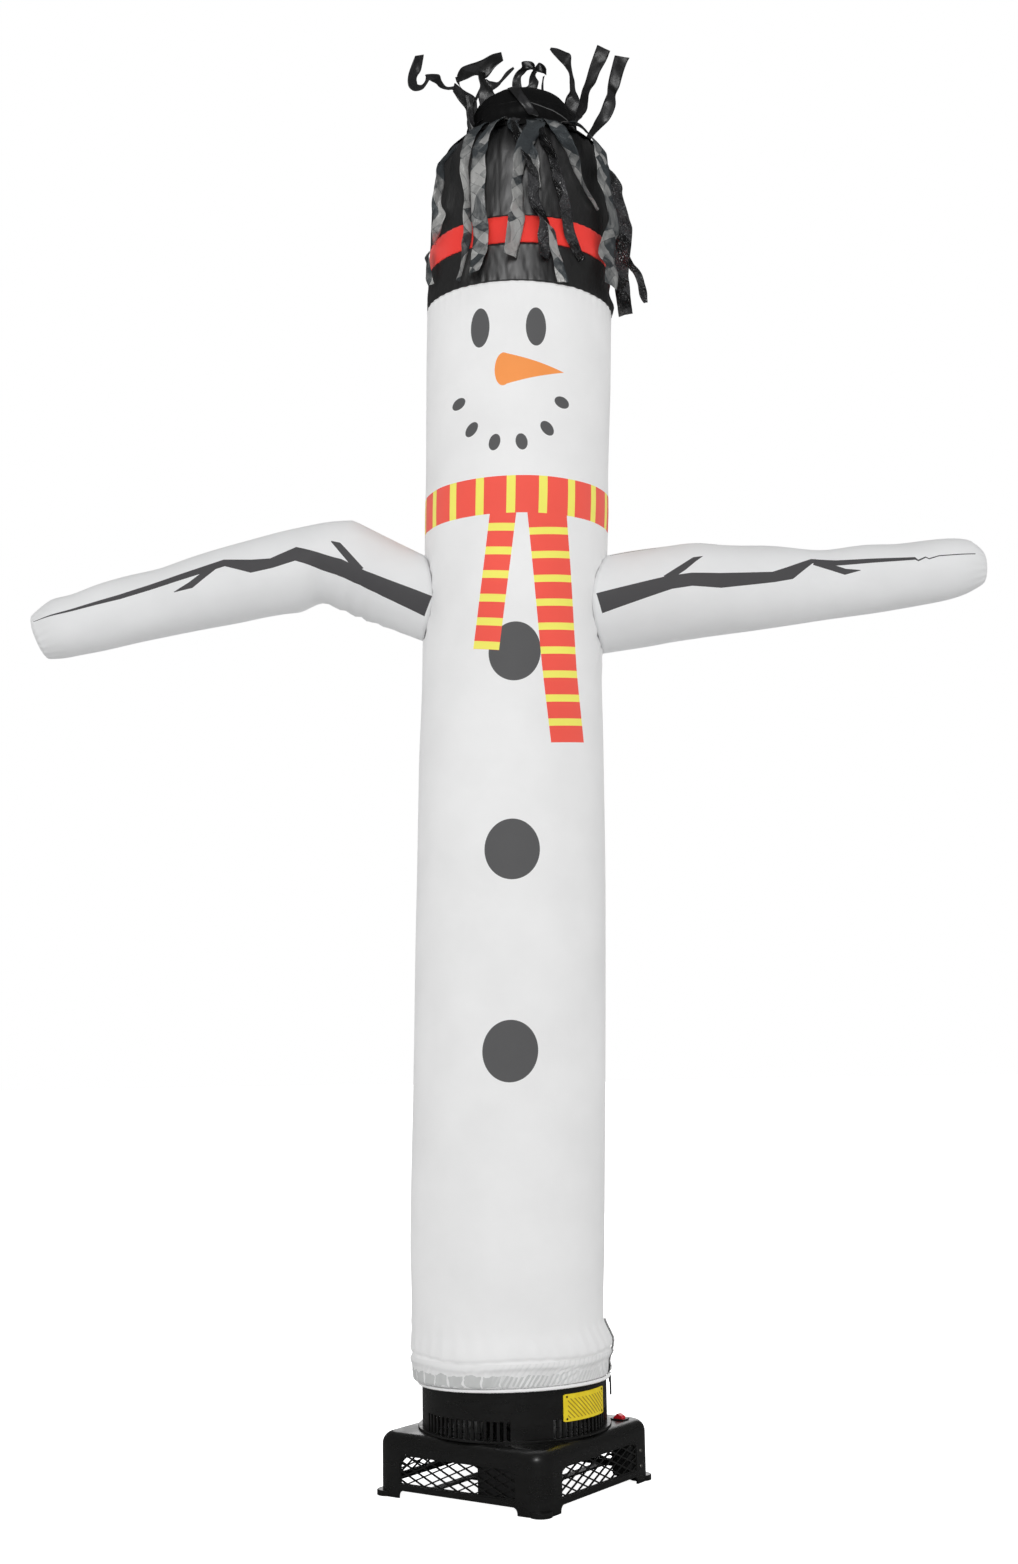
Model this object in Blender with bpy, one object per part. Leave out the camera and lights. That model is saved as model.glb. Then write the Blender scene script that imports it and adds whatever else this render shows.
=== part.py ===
"""An inflatable air dancer standing on its blower.

A cloth tube with a hat, two arms and streamer fringes, blown up and gathered at its
hem round the drum of a square blower. Metres, +Z up, the dancer's front towards -Y,
origin on the floor under the middle of the blower. Angles round the tube start at
the front (-Y) and grow towards +X.
"""

import math
from collections import namedtuple

import bmesh
import bpy
from mathutils import Matrix, Vector

GAP = 0.0003  # left between pieces that touch

# --- Cloth -----------------------------------------------------------------
CLOTH = 0.002
SEGMENTS = 36  # points round the tube

TubeRow = namedtuple("TubeRow", "z x radius")  # height, sideways place of the axis, radius
HEM_Z = 0.1653
SEAM_Z = 1.879  # tube to hat
BAND_LOW_Z = 1.944
BAND_HIGH_Z = 1.989
CROWN_TOP_Z = 2.180

TUBE_ROWS = (
    TubeRow(HEM_Z, 0.000, 0.1472),
    TubeRow(0.171, -0.001, 0.1508),
    TubeRow(0.182, -0.002, 0.1530),
    TubeRow(0.195, -0.003, 0.1552),
    TubeRow(0.212, -0.004, 0.1546),
    TubeRow(0.250, -0.008, 0.1495),
    TubeRow(0.371, -0.009, 0.1508),
    TubeRow(0.650, -0.002, 0.1524),
    TubeRow(0.934, 0.006, 0.1523),
    TubeRow(1.128, 0.010, 0.1512),
    TubeRow(1.260, 0.013, 0.1480),
    TubeRow(1.430, 0.020, 0.1482),
    TubeRow(1.595, 0.026, 0.1503),
    TubeRow(1.740, 0.032, 0.1525),
    TubeRow(SEAM_Z, 0.035, 0.1525),
)
HAT_ROWS = (
    TubeRow(1.905, 0.035, 0.1512),
    TubeRow(BAND_LOW_Z, 0.036, 0.1498),
    TubeRow(BAND_HIGH_Z, 0.038, 0.1492),
    TubeRow(2.093, 0.043, 0.1478),
    TubeRow(2.122, 0.045, 0.1435),
    TubeRow(2.150, 0.047, 0.1300),
    TubeRow(2.168, 0.048, 0.1120),
    TubeRow(CROWN_TOP_Z, 0.048, 0.0940),
)
CAP_ROWS = (
    TubeRow(CROWN_TOP_Z + GAP, 0.048, 0.0935),
    TubeRow(2.190, 0.048, 0.0895),
    TubeRow(2.207, 0.048, 0.0910),
    TubeRow(2.236, 0.048, 0.0810),
    TubeRow(2.256, 0.048, 0.0580),
    TubeRow(2.265, 0.048, 0.0300),
)
CAP_APEX_Z = 2.268
OUTLINE = TUBE_ROWS + HAT_ROWS

SWAY = 0.0010  # how uneven the blown cloth is
PLEAT = 0.0014  # ripple of the gathered hem
PLEAT_LOW_Z, PLEAT_HIGH_Z = 0.168, 0.200
HEM_RISE, HEM_RISE_AT = 0.006, math.radians(33)  # the hem sits a little higher on that side
HEM_LEVEL_Z = 0.24  # above here the rings are level
BINDING_LOW_Z, BINDING_RADIUS = 0.1588, 0.1478
SEAM_SLOPE = 0.025

ZIP_AT = math.radians(90)
ZIP_WIDTH, ZIP_THICK = 0.0060, 0.0014
ZIP_CLEAR = math.radians(14)  # no pleats this close to the zip
SLIDER = (0.0028, 0.0070, 0.0100)
PULL = (0.0012, 0.0026, 0.0230)

# --- Arms: each row is a section, by its top and low points ----------------
ArmRow = namedtuple("ArmRow", "top_x top_z low_x low_z")
ARM_SEGMENTS = 16
LEFT_ARM = (
    ArmRow(-0.070, 1.452, -0.072, 1.306),
    ArmRow(-0.214, 1.523, -0.215, 1.361),
    ArmRow(-0.250, 1.535, -0.300, 1.394),
    ArmRow(-0.330, 1.521, -0.340, 1.382),
    ArmRow(-0.413, 1.504, -0.403, 1.366),
    ArmRow(-0.571, 1.454, -0.555, 1.338),
    ArmRow(-0.633, 1.438, -0.617, 1.326),
    ArmRow(-0.768, 1.384, -0.742, 1.310),
)
RIGHT_ARM = (
    ArmRow(0.110, 1.456, 0.106, 1.318),
    ArmRow(0.319, 1.485, 0.322, 1.322),
    ArmRow(0.447, 1.475, 0.450, 1.342),
    ArmRow(0.524, 1.470, 0.527, 1.354),
    ArmRow(0.662, 1.485, 0.666, 1.375),
    ArmRow(0.748, 1.489, 0.753, 1.389),
    ArmRow(0.778, 1.477, 0.783, 1.402),
)
ARM_END = 0.007  # how far the closed end bulges
ARMHOLE_INSET = 0.001  # the armhole is this much smaller than the arm inside
ARM_SPREAD_Z = (1.128, 1.740)  # stretch of the tube that the arms are trimmed to

# --- Streamers -------------------------------------------------------------
STRIP_THICK = 0.0012
TAPE_IN, TAPE_OUT = GAP, 0.0021  # a ring tape's two faces, above the cloth
HANGING = 22
HANG_WIDTH, HANG_ROOT_WIDTH = 0.025, 0.014
SILVER_TAPE_Z = (2.158, 2.166)
BLACK_TAPE_Z = (2.1700, 2.1765)
HANG_LIFT = 0.0034
HANG_KNOTS_Z = (2.153, 2.136, 2.116, 2.090, 2.035, 1.978)
HANG_END_Z, HANG_END_SPREAD = 1.922, 0.022
FLARE_AT, FLARE_WIDTH = math.radians(100), math.radians(42)
FLARE_OUT, FLARE_DROP = 0.050, 0.036
FLARE_FROM_Z = 2.11

TOP_TAPE_Z = (2.192, 2.200)
TOP_WIDTH = 0.021
TOP_LEAD_Z, TOP_LEAD_OUT = 2.215, 0.010  # where a strip leaves the cap
TopStrip = namedtuple("TopStrip", "degrees y path")  # root's angle, plane, (x, z) points
TOP_STRIPS = (
    TopStrip(-100, 0.020, ((-0.062, 2.262), (-0.078, 2.298), (-0.110, 2.318), (-0.140, 2.306))),
    TopStrip(-65, -0.032, ((-0.046, 2.254), (-0.050, 2.296), (-0.020, 2.314), (0.012, 2.323))),
    TopStrip(-140, 0.075, ((-0.012, 2.268), (-0.006, 2.312), (0.018, 2.334))),
    TopStrip(-165, 0.096, ((0.020, 2.272), (0.028, 2.320), (0.048, 2.360))),
    TopStrip(165, 0.086, ((0.082, 2.272), (0.088, 2.325), (0.082, 2.366))),
    TopStrip(130, 0.058, ((0.134, 2.262), (0.132, 2.322), (0.106, 2.362))),
    TopStrip(100, 0.022, ((0.152, 2.256), (0.178, 2.296), (0.190, 2.352))),
    TopStrip(75, -0.022, ((0.150, 2.252), (0.163, 2.300), (0.174, 2.350))),
    TopStrip(48, -0.058, ((0.150, 2.238), (0.186, 2.264), (0.212, 2.320))),
)

# --- Blower, in its own square frame, turned about +Z ----------------------
BASE_TURN = math.radians(-34.5)
HALF_SIDE = 0.154
CORNER = 0.030
SHOULDER = 0.018  # rounding of the deck's edge
WALL = 0.003
DECK_Z = 0.092
RIM_Z = 0.011  # the wall's lower edge, between the feet
FOOT_FROM, FOOT_ROUND = 0.108, 0.008  # where a foot begins along the wall
EAR_RADIUS, EAR_OUT, EAR_HIGH = 0.017, 0.009, 0.008

WINDOW_HALF, WINDOW_LOW, WINDOW_HIGH, WINDOW_ROUND = 0.106, 0.020, 0.064, 0.014
GRILLE_THICK, GRILLE_EDGE = 0.0024, 0.0016
GRILLE_PITCH_SCALE = 2  # the real lattice is finer by this
CELL_WIDE, CELL_HIGH = 0.031 * GRILLE_PITCH_SCALE, 0.0136 * GRILLE_PITCH_SCALE
BAR = 0.0034

DRUM_RADIUS, DRUM_WALL, DRUM_TOP_Z = 0.1425, 0.003, 0.206
FLANGE_OUT, FLANGE_HIGH = 0.0065, 0.003
SLOT_HIGH_Z = 0.127  # the slots rise from the flange
SLOTS_PER_GROUP, SLOT_PITCH, SLOT_WIDTH = 16, math.radians(4.1), math.radians(2.3)
CORNER_ANGLE = math.radians(45)  # of the base's corners in its own frame

PLATE_FROM, PLATE_TO = math.radians(30), math.radians(70)  # in the dancer's frame
PLATE_LOW_Z, PLATE_HIGH_Z, PLATE_THICK = 0.117, 0.157, 0.0008

MOTOR_RADIUS, MOTOR_HIGH = 0.054, 0.066
STRAP_AT, STRAP_WIDTH, STRAP_THICK, STRAP_Z = 0.062, 0.015, 0.003, 0.0115
CROSS_AT = 0.034

SWITCH_AT = (0.121, 0.112)
BEZEL = (0.024, 0.017, 0.002)
SWITCH_BODY = (0.0206, 0.0134, 0.0165)  # below the deck's top
WELL = (0.0182, 0.0108, 0.0100)
ROCKER = (0.0164, 0.0102)
ROCKER_DEEP = 0.0055  # from its axis down to its round belly
ROCKER_END_HIGH, ROCKER_MIDDLE_HIGH = 0.0044, 0.0030
ROCKER_TILT = math.radians(8)

ScrewPlace = namedtuple("ScrewPlace", "along z")
SCREWS = (ScrewPlace(0.118, 0.048), ScrewPlace(0.118, 0.025))
SCREW_RADIUS, SCREW_HIGH = 0.0032, 0.0016

# name: colour, roughness, metallic
FINISHES = {
    "white_cloth": ((0.86, 0.87, 0.87), 0.55, 0.0),
    "binding": ((0.93, 0.93, 0.93), 0.50, 0.0),
    "black_cloth": ((0.040, 0.040, 0.042), 0.50, 0.0),
    "red_cloth": ((0.80, 0.045, 0.035), 0.50, 0.0),
    "silver_cloth": ((0.17, 0.18, 0.18), 0.35, 0.2),
    "black_plastic": ((0.012, 0.012, 0.010), 0.30, 0.0),
    "motor_metal": ((0.020, 0.020, 0.020), 0.45, 0.6),
    "yellow_plate": ((0.80, 0.66, 0.02), 0.45, 0.0),
    "red_plastic": ((0.62, 0.012, 0.018), 0.25, 0.0),
    "screw_steel": ((0.45, 0.44, 0.40), 0.30, 1.0),
    "zip_black": ((0.020, 0.020, 0.022), 0.60, 0.0),
}


# --- Scene and mesh helpers -------------------------------------------------
def clear_scene():
    for obj in list(bpy.data.objects):
        bpy.data.objects.remove(obj, do_unlink=True)


def material(finish):
    found = bpy.data.materials.get(finish)
    if found:
        return found
    colour, roughness, metallic = FINISHES[finish]
    made = bpy.data.materials.new(finish)
    made.use_nodes = True
    shader = made.node_tree.nodes["Principled BSDF"]
    shader.inputs["Base Color"].default_value = (*colour, 1.0)
    shader.inputs["Roughness"].default_value = roughness
    shader.inputs["Metallic"].default_value = metallic
    return made


def new_object(name, shape, finish=None, parent=None):
    """An object from a bmesh, which is freed. Without a finish it is a cutter."""
    bmesh.ops.recalc_face_normals(shape, faces=shape.faces)
    mesh = bpy.data.meshes.new(name)
    shape.to_mesh(mesh)
    shape.free()
    obj = bpy.data.objects.new(name, mesh)
    bpy.context.scene.collection.objects.link(obj)
    obj.parent = parent
    if finish:
        mesh.materials.append(material(finish))
        mesh.shade_smooth()
        mesh.set_sharp_from_angle(angle=math.radians(35))
    else:
        obj.hide_render = True
        obj.display_type = "WIRE"
    return obj


def boolean(obj, other, operation):
    cut = obj.modifiers.new(f"{operation.lower()}_{other.name}", "BOOLEAN")
    cut.operation = operation
    cut.solver = "EXACT"
    cut.object = other


def add_loft(shape, rings, closed=False):
    """Skin a list of rings. A ring of one point is a pole; closed joins last to first."""
    made = [[shape.verts.new(point) for point in ring] for ring in rings]
    pairs = list(zip(made, made[1:]))
    if closed:
        pairs.append((made[-1], made[0]))
    for low, high in pairs:
        count = max(len(low), len(high))
        for i in range(count):
            j = (i + 1) % count
            corners = [low[i % len(low)], low[j % len(low)], high[j % len(high)], high[i % len(high)]]
            shape.faces.new(list(dict.fromkeys(corners)))
    return made


def add_solid_loft(shape, rings):
    """A loft whose first and last rings are filled."""
    made = add_loft(shape, rings)
    shape.faces.new(made[0])
    shape.faces.new(made[-1])


def add_prism(shape, profile, place):
    """A solid between two copies of a profile: place(point, 0) and place(point, 1)."""
    add_solid_loft(shape, [[place(point, end) for point in profile] for end in (0, 1)])


def add_box(shape, low, high):
    profile = ((low[0], low[1]), (high[0], low[1]), (high[0], high[1]), (low[0], high[1]))
    add_prism(shape, profile, lambda p, end: Vector((p[0], p[1], (low[2], high[2])[end])))


def centred_box(centre, size):
    middle, half = Vector(centre), Vector(size) / 2
    return middle - half, middle + half


def arc(centre, radius, start, stop, steps):
    for i in range(steps + 1):
        a = start + (stop - start) * i / steps
        yield centre[0] + radius * math.cos(a), centre[1] + radius * math.sin(a)


def smooth_at(rows, z):
    """(x, radius, slope of the radius) of a table of TubeRow at a height, by cubics."""
    z = min(max(z, rows[0].z), rows[-1].z)
    i = next(k for k in range(len(rows) - 1) if z <= rows[k + 1].z)
    a, b = rows[i], rows[i + 1]
    before, after = rows[max(i - 1, 0)], rows[min(i + 2, len(rows) - 1)]
    span = b.z - a.z
    t = (z - a.z) / span
    start = (b.radius - before.radius) / (b.z - before.z) * span
    stop = (after.radius - a.radius) / (after.z - a.z) * span
    radius = (
        (2 * t**3 - 3 * t**2 + 1) * a.radius
        + (t**3 - 2 * t**2 + t) * start
        + (3 * t**2 - 2 * t**3) * b.radius
        + (t**3 - t**2) * stop
    )
    rise = (
        (6 * t**2 - 6 * t) * (a.radius - b.radius)
        + (3 * t**2 - 4 * t + 1) * start
        + (3 * t**2 - 2 * t) * stop
    )
    return a.x + (b.x - a.x) * t, radius, rise / span


def smooth_path(points, per_span=2):
    """A Catmull-Rom curve through a list of vectors."""
    path = []
    for i in range(len(points) - 1):
        p0, p1 = points[max(i - 1, 0)], points[i]
        p2, p3 = points[i + 1], points[min(i + 2, len(points) - 1)]
        for k in range(per_span):
            t = k / per_span
            path.append(
                0.5 * (2 * p1 + (p2 - p0) * t + (2 * p0 - 5 * p1 + 4 * p2 - p3) * t**2
                       + (3 * p1 - p0 - 3 * p2 + p3) * t**3)
            )
    return path + [points[-1]]


# --- Tube and hat -----------------------------------------------------------
def angles():
    return [2 * math.pi * i / SEGMENTS for i in range(SEGMENTS)]


def unevenness(angle, z):
    """Soft waves of the blown cloth, and the pleats of its gathered hem."""
    fade = min(1.0, max(0.0, (z - HEM_LEVEL_Z) / 0.1)) * min(1.0, max(0.0, (2.0 - z) / 0.1))
    wave = SWAY * fade * (0.6 * math.sin(2 * angle + 9 * z) + 0.4 * math.sin(3 * angle - 14 * z))
    if not PLEAT_LOW_Z < z < PLEAT_HIGH_Z:
        return wave
    turned = (angle - ZIP_AT + math.pi) % (2 * math.pi) - math.pi
    pleated = abs(turned) > ZIP_CLEAR
    return wave + (PLEAT * math.cos(angle * SEGMENTS / 2) if pleated else 0.0)


def hem_rise(angle, z):
    fade = min(1.0, max(0.0, (HEM_LEVEL_Z - z) / (HEM_LEVEL_Z - HEM_Z)))
    return HEM_RISE * fade * math.cos(angle - HEM_RISE_AT)


def tube_point(angle, z, lift=0.0, rows=OUTLINE):
    """A point on the tube's or hat's outer face, or lifted off it along its normal."""
    x, radius, slope = smooth_at(rows, z)
    tilt = math.hypot(1.0, slope)
    out = radius + unevenness(angle, z) + lift / tilt
    return Vector(
        (
            x + out * math.sin(angle),
            -out * math.cos(angle),
            z + hem_rise(angle, z) - lift * slope / tilt,
        )
    )


def tube_ring(z, lift=0.0, rows=OUTLINE, slope=0.0):
    ring = []
    for angle in angles():
        lowered = slope * smooth_at(rows, z)[1] * math.sin(angle)
        ring.append(tube_point(angle, z, lift, rows) - Vector((0, 0, lowered)))
    return ring


def add_cloth_panel(shape, heights, rows=OUTLINE, slopes=None):
    """A closed ring of cloth through the given heights, CLOTH thick."""
    slopes = slopes or [0.0] * len(heights)
    outer = [tube_ring(z, 0.0, rows, s) for z, s in zip(heights, slopes)]
    inner = [tube_ring(z, -CLOTH, rows, s) for z, s in zip(heights, slopes)]
    add_loft(shape, outer + inner[::-1], closed=True)


def make_body_tube(arm_plugs):
    shape = bmesh.new()
    heights = [row.z for row in TUBE_ROWS]
    add_cloth_panel(shape, heights, slopes=[0.0] * (len(heights) - 1) + [SEAM_SLOPE])
    tube = new_object("body_tube", shape, "white_cloth")
    for plug in arm_plugs:
        boolean(tube, plug, "DIFFERENCE")
    return tube


def make_hem_binding():
    """The rolled edge that grips the drum; it carries the tube's hem."""
    inner, outer = DRUM_RADIUS + 2 * GAP, BINDING_RADIUS
    corners = ((inner, BINDING_LOW_Z), (outer, BINDING_LOW_Z), (outer, HEM_Z - GAP), (inner, HEM_Z - GAP))
    rings = []
    for radius, z in corners:
        rings.append([
            Vector((radius * math.sin(angle), -radius * math.cos(angle), z + hem_rise(angle, HEM_Z)))
            for angle in angles()
        ])
    shape = bmesh.new()
    add_loft(shape, rings, closed=True)
    return new_object("hem_binding", shape, "binding")


def make_hat():
    crown = [row.z for row in HAT_ROWS if row.z > BAND_HIGH_Z]
    shape = bmesh.new()
    add_cloth_panel(shape, [SEAM_Z + GAP, 1.905, BAND_LOW_Z], slopes=[SEAM_SLOPE, SEAM_SLOPE / 2, 0.0])
    new_object("hat_brim", shape, "black_cloth")
    shape = bmesh.new()
    add_cloth_panel(shape, [BAND_LOW_Z + GAP, BAND_HIGH_Z])
    new_object("hat_band", shape, "red_cloth")
    shape = bmesh.new()
    add_cloth_panel(shape, [BAND_HIGH_Z + GAP] + crown)
    new_object("hat_crown", shape, "black_cloth")

    outer = [tube_ring(row.z, 0.0, CAP_ROWS) for row in CAP_ROWS]
    inner = [tube_ring(row.z, -CLOTH, CAP_ROWS) for row in CAP_ROWS]
    apex = Vector((CAP_ROWS[-1].x, 0, CAP_APEX_Z))
    under_apex = apex - Vector((0, 0, CLOTH))
    shape = bmesh.new()
    add_loft(shape, [[under_apex]] + inner[::-1] + outer + [[apex]])
    new_object("hat_cap", shape, "black_cloth")


# --- Zip ---------------------------------------------------------------------
def make_zip():
    knots = [row.z for row in TUBE_ROWS if row.z <= 0.250]
    half = ZIP_WIDTH / 2
    rings = []
    for z in knots:
        low = tube_point(ZIP_AT, z, GAP)
        high = tube_point(ZIP_AT, z, GAP + ZIP_THICK)
        side = Vector((0, half, 0))
        rings.append([low - side, high - side, high + side, low + side])
    shape = bmesh.new()
    add_solid_loft(shape, rings)
    new_object("zip_tape", shape, "zip_black")

    tape_end_z = tube_point(ZIP_AT, knots[0], GAP + ZIP_THICK).z
    centre = Vector((BINDING_RADIUS + GAP + SLIDER[0] / 2, 0, tape_end_z - GAP - SLIDER[2] / 2))
    slider = bmesh.new()
    add_box(slider, *centred_box(centre, SLIDER))
    body = new_object("zip_slider", slider, "zip_black")
    pull = bmesh.new()
    hung = centre - Vector((0, 0, SLIDER[2] / 2 + PULL[2] / 2 - 0.002))
    add_box(pull, *centred_box(hung, PULL))
    boolean(body, new_object("guide_pull", pull), "UNION")


# --- Arms --------------------------------------------------------------------
def arm_section(row, inset=0.0, scale=1.0, shift=0.0, outward=-1):
    top, low = Vector((row.top_x, 0, row.top_z)), Vector((row.low_x, 0, row.low_z))
    middle, up = (top + low) / 2, (top - low) / 2
    radius = up.length * scale - inset
    up.normalize()
    out = Vector((outward * up.z, 0, -outward * up.x))
    if radius <= 0:
        return [middle + out * shift]
    section = []
    for i in range(ARM_SEGMENTS):
        a = 2 * math.pi * i / ARM_SEGMENTS
        across = Vector((0, radius * math.sin(a), 0))
        section.append(middle + out * shift + up * (radius * math.cos(a)) + across)
    return section


def arm_rings(rows, outward, inset):
    """Sections from the root to the closed end, which bulges a little."""
    rings = [arm_section(row, inset) for row in rows]
    end = ARM_END - inset
    rings.append(arm_section(rows[-1], inset, 0.80, 0.6 * end, outward))
    rings.append(arm_section(rows[-1], inset, 0.45, 0.95 * end, outward))
    rings.append(arm_section(rows[-1], inset, 0.0, end, outward))
    return rings


def make_arm(name, rows, outward, trim):
    outer = arm_rings(rows, outward, 0.0)
    inner = arm_rings(rows, outward, CLOTH)
    shape = bmesh.new()
    skins = [add_loft(shape, outer), add_loft(shape, inner)]
    for i in range(ARM_SEGMENTS):
        j = (i + 1) % ARM_SEGMENTS
        shape.faces.new((skins[0][0][i], skins[0][0][j], skins[1][0][j], skins[1][0][i]))
    boolean(new_object(name, shape, "white_cloth"), trim, "DIFFERENCE")


def make_arm_plug(name, rows):
    """The cutter for an armhole, a little smaller than the arm is inside."""
    shape = bmesh.new()
    add_solid_loft(shape, [arm_section(row, CLOTH + ARMHOLE_INSET) for row in rows[:2]])
    return new_object(name, shape)


def make_arm_trim():
    """The cutter that ends each arm on the tube's outer face."""
    heights = [row.z for row in TUBE_ROWS if ARM_SPREAD_Z[0] <= row.z <= ARM_SPREAD_Z[1]]
    shape = bmesh.new()
    add_solid_loft(shape, [tube_ring(z, GAP) for z in heights])
    return new_object("guide_arm_trim", shape)


# --- Streamers ---------------------------------------------------------------
def add_ring_tape(shape, low_z, high_z, rows=OUTLINE):
    rings = [
        tube_ring(low_z, TAPE_IN, rows),
        tube_ring(low_z, TAPE_OUT, rows),
        tube_ring(high_z, TAPE_OUT, rows),
        tube_ring(high_z, TAPE_IN, rows),
    ]
    add_loft(shape, rings, closed=True)


def add_strip(shape, path, widths, sides, normals):
    """A ribbon of four-cornered sections along a path. Its two wide faces are split along
    the same diagonals, so that a twisted ribbon keeps its thickness."""
    rings = []
    for point, width, side, normal in zip(path, widths, sides, normals):
        across, through = side * width / 2, normal * STRIP_THICK / 2
        corners = (-across - through, across - through, across + through, through - across)
        rings.append([shape.verts.new(point + corner) for corner in corners])
    for low, high in zip(rings, rings[1:]):
        shape.faces.new((low[0], low[1], high[1]))
        shape.faces.new((low[0], high[1], high[0]))
        shape.faces.new((low[3], high[2], low[2]))
        shape.faces.new((low[3], high[3], high[2]))
        shape.faces.new((low[1], low[2], high[2], high[1]))
        shape.faces.new((low[3], low[0], high[0], high[3]))
    shape.faces.new(rings[0])
    shape.faces.new(rings[-1])


def flare_share(angle):
    """How much a hanging streamer is blown away from the hat, by its angle."""
    away = (angle - FLARE_AT + math.pi) % (2 * math.pi) - math.pi
    return max(0.0, math.cos(min(abs(away) / FLARE_WIDTH, 1.0) * math.pi / 2)) ** 2


def hanging_strip(index, tape_z):
    """(path, sides, normals) of one hanging streamer."""
    angle = 2 * math.pi * (index + 0.5) / HANGING
    share = flare_share(angle)
    end = HANG_END_Z + HANG_END_SPREAD * math.sin(2.4 * index) - FLARE_DROP * share
    root_z = (tape_z[0] + tape_z[1]) / 2
    path, sides, normals = [tube_point(angle, root_z, 0.0012)], [], []
    if root_z > SILVER_TAPE_Z[1]:
        path.append(tube_point(angle, SILVER_TAPE_Z[1], HANG_LIFT + 0.0006))
    for z in HANG_KNOTS_Z + (end,):
        fall = max(0.0, (FLARE_FROM_Z - z) / (FLARE_FROM_Z - HANG_END_Z))
        drift = 0.035 * math.sin(1.7 * index) * fall
        lift = HANG_LIFT + FLARE_OUT * share * fall + 0.002 * fall
        path.append(tube_point(angle + drift, z, lift))
    for i, point in enumerate(path):
        along = path[min(i + 1, len(path) - 1)] - path[max(i - 1, 0)]
        side = Vector((math.cos(angle), math.sin(angle), 0))
        normal = side.cross(along).normalized()
        sides.append(side)
        normals.append(normal)
    return path, sides, normals


def make_hanging_fringe(name, finish, first, tape_z):
    """A ring tape with every second hanging streamer fused to it."""
    tape = bmesh.new()
    add_ring_tape(tape, *tape_z)
    strips = bmesh.new()
    for index in range(first, HANGING, 2):
        path, sides, normals = hanging_strip(index, tape_z)
        widths = [HANG_ROOT_WIDTH] + [
            min(HANG_WIDTH, HANG_ROOT_WIDTH + 0.0035 * (i + 1)) for i in range(len(path) - 1)
        ]
        add_strip(strips, path, widths, sides, normals)
    fringe = new_object(name, tape, finish)
    boolean(fringe, new_object(f"guide_{name}", strips), "UNION")


def make_top_fringe():
    """Streamers that fly up from a ring tape round the cap, each in its own plane."""
    tape = bmesh.new()
    add_ring_tape(tape, *TOP_TAPE_Z, rows=CAP_ROWS)
    strips = bmesh.new()
    root_z = sum(TOP_TAPE_Z) / 2
    for strip in TOP_STRIPS:
        angle = math.radians(strip.degrees)
        root = tube_point(angle, root_z, (TAPE_IN + TAPE_OUT) / 2, CAP_ROWS)
        lead = tube_point(angle, TOP_LEAD_Z, TOP_LEAD_OUT, CAP_ROWS)
        path = smooth_path([root, lead] + [Vector((x, strip.y, z)) for x, z in strip.path])
        round_cap = Vector((math.cos(angle), math.sin(angle), 0))
        sides, normals, widths = [], [], []
        handed = 1 if abs(strip.degrees) < 90 else -1
        for i in range(len(path)):
            along = (path[min(i + 1, len(path) - 1)] - path[max(i - 1, 0)]).normalized()
            facing = Vector((along.z, 0, -along.x)) * handed
            side = round_cap.lerp(facing, min(1.0, i / 4))
            side = (side - along * side.dot(along)).normalized()
            sides.append(side)
            normals.append(side.cross(along))
            widths.append(TOP_WIDTH * (0.5 + 0.5 * min(1.0, i / 3)))
        add_strip(strips, path, widths, sides, normals)
    fringe = new_object("fringe_top", tape, "black_cloth")
    boolean(fringe, new_object("guide_fringe_top", strips), "UNION")


# --- Blower ------------------------------------------------------------------
def rounded_square(half, radius, z):
    ring = []
    for k in range(4):
        turn = k * math.pi / 2
        centre = Matrix.Rotation(turn, 2) @ Vector((half - radius, half - radius))
        ring += [Vector((x, y, z)) for x, y in arc(centre, radius, turn, turn + math.pi / 2, 4)]
        corner_end, next_start = ring[-1], Matrix.Rotation(turn, 3, "Z") @ Vector((-half + radius, half, z))
        ring += [corner_end.lerp(next_start, share / 6) for share in range(1, 6)]
    return ring


def circle_like(ring, radius, z):
    """A circle with a point in the direction of each point of a ring."""
    return [Vector((p.x, p.y, 0)).normalized() * radius + Vector((0, 0, z)) for p in ring]


def through_walls(shape, profile, axis):
    """A prism of a (along, height) profile that runs through two facing walls."""
    reach = HALF_SIDE + 0.02

    def place(point, end):
        across = (-reach, reach)[end]
        return Vector((across, point[0], point[1]) if axis == "X" else (point[0], across, point[1]))

    add_prism(shape, profile, place)


def window_profile(inset=0.0):
    half, low, high = WINDOW_HALF - inset, WINDOW_LOW + inset, WINDOW_HIGH - inset
    radius = WINDOW_ROUND - inset
    right = arc((half - radius, high - radius), radius, 0, math.pi / 2, 4)
    left = arc((radius - half, high - radius), radius, math.pi / 2, math.pi, 4)
    return [(half, low), *right, *left, (-half, low)]


def foot_gap_profile():
    edge = FOOT_FROM - FOOT_ROUND
    right = arc((edge, RIM_Z - FOOT_ROUND), FOOT_ROUND, 0, math.pi / 2, 3)
    left = arc((-edge, RIM_Z - FOOT_ROUND), FOOT_ROUND, math.pi / 2, math.pi, 3)
    return [(FOOT_FROM, -0.01), *right, *left, (-FOOT_FROM, -0.01)]


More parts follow.
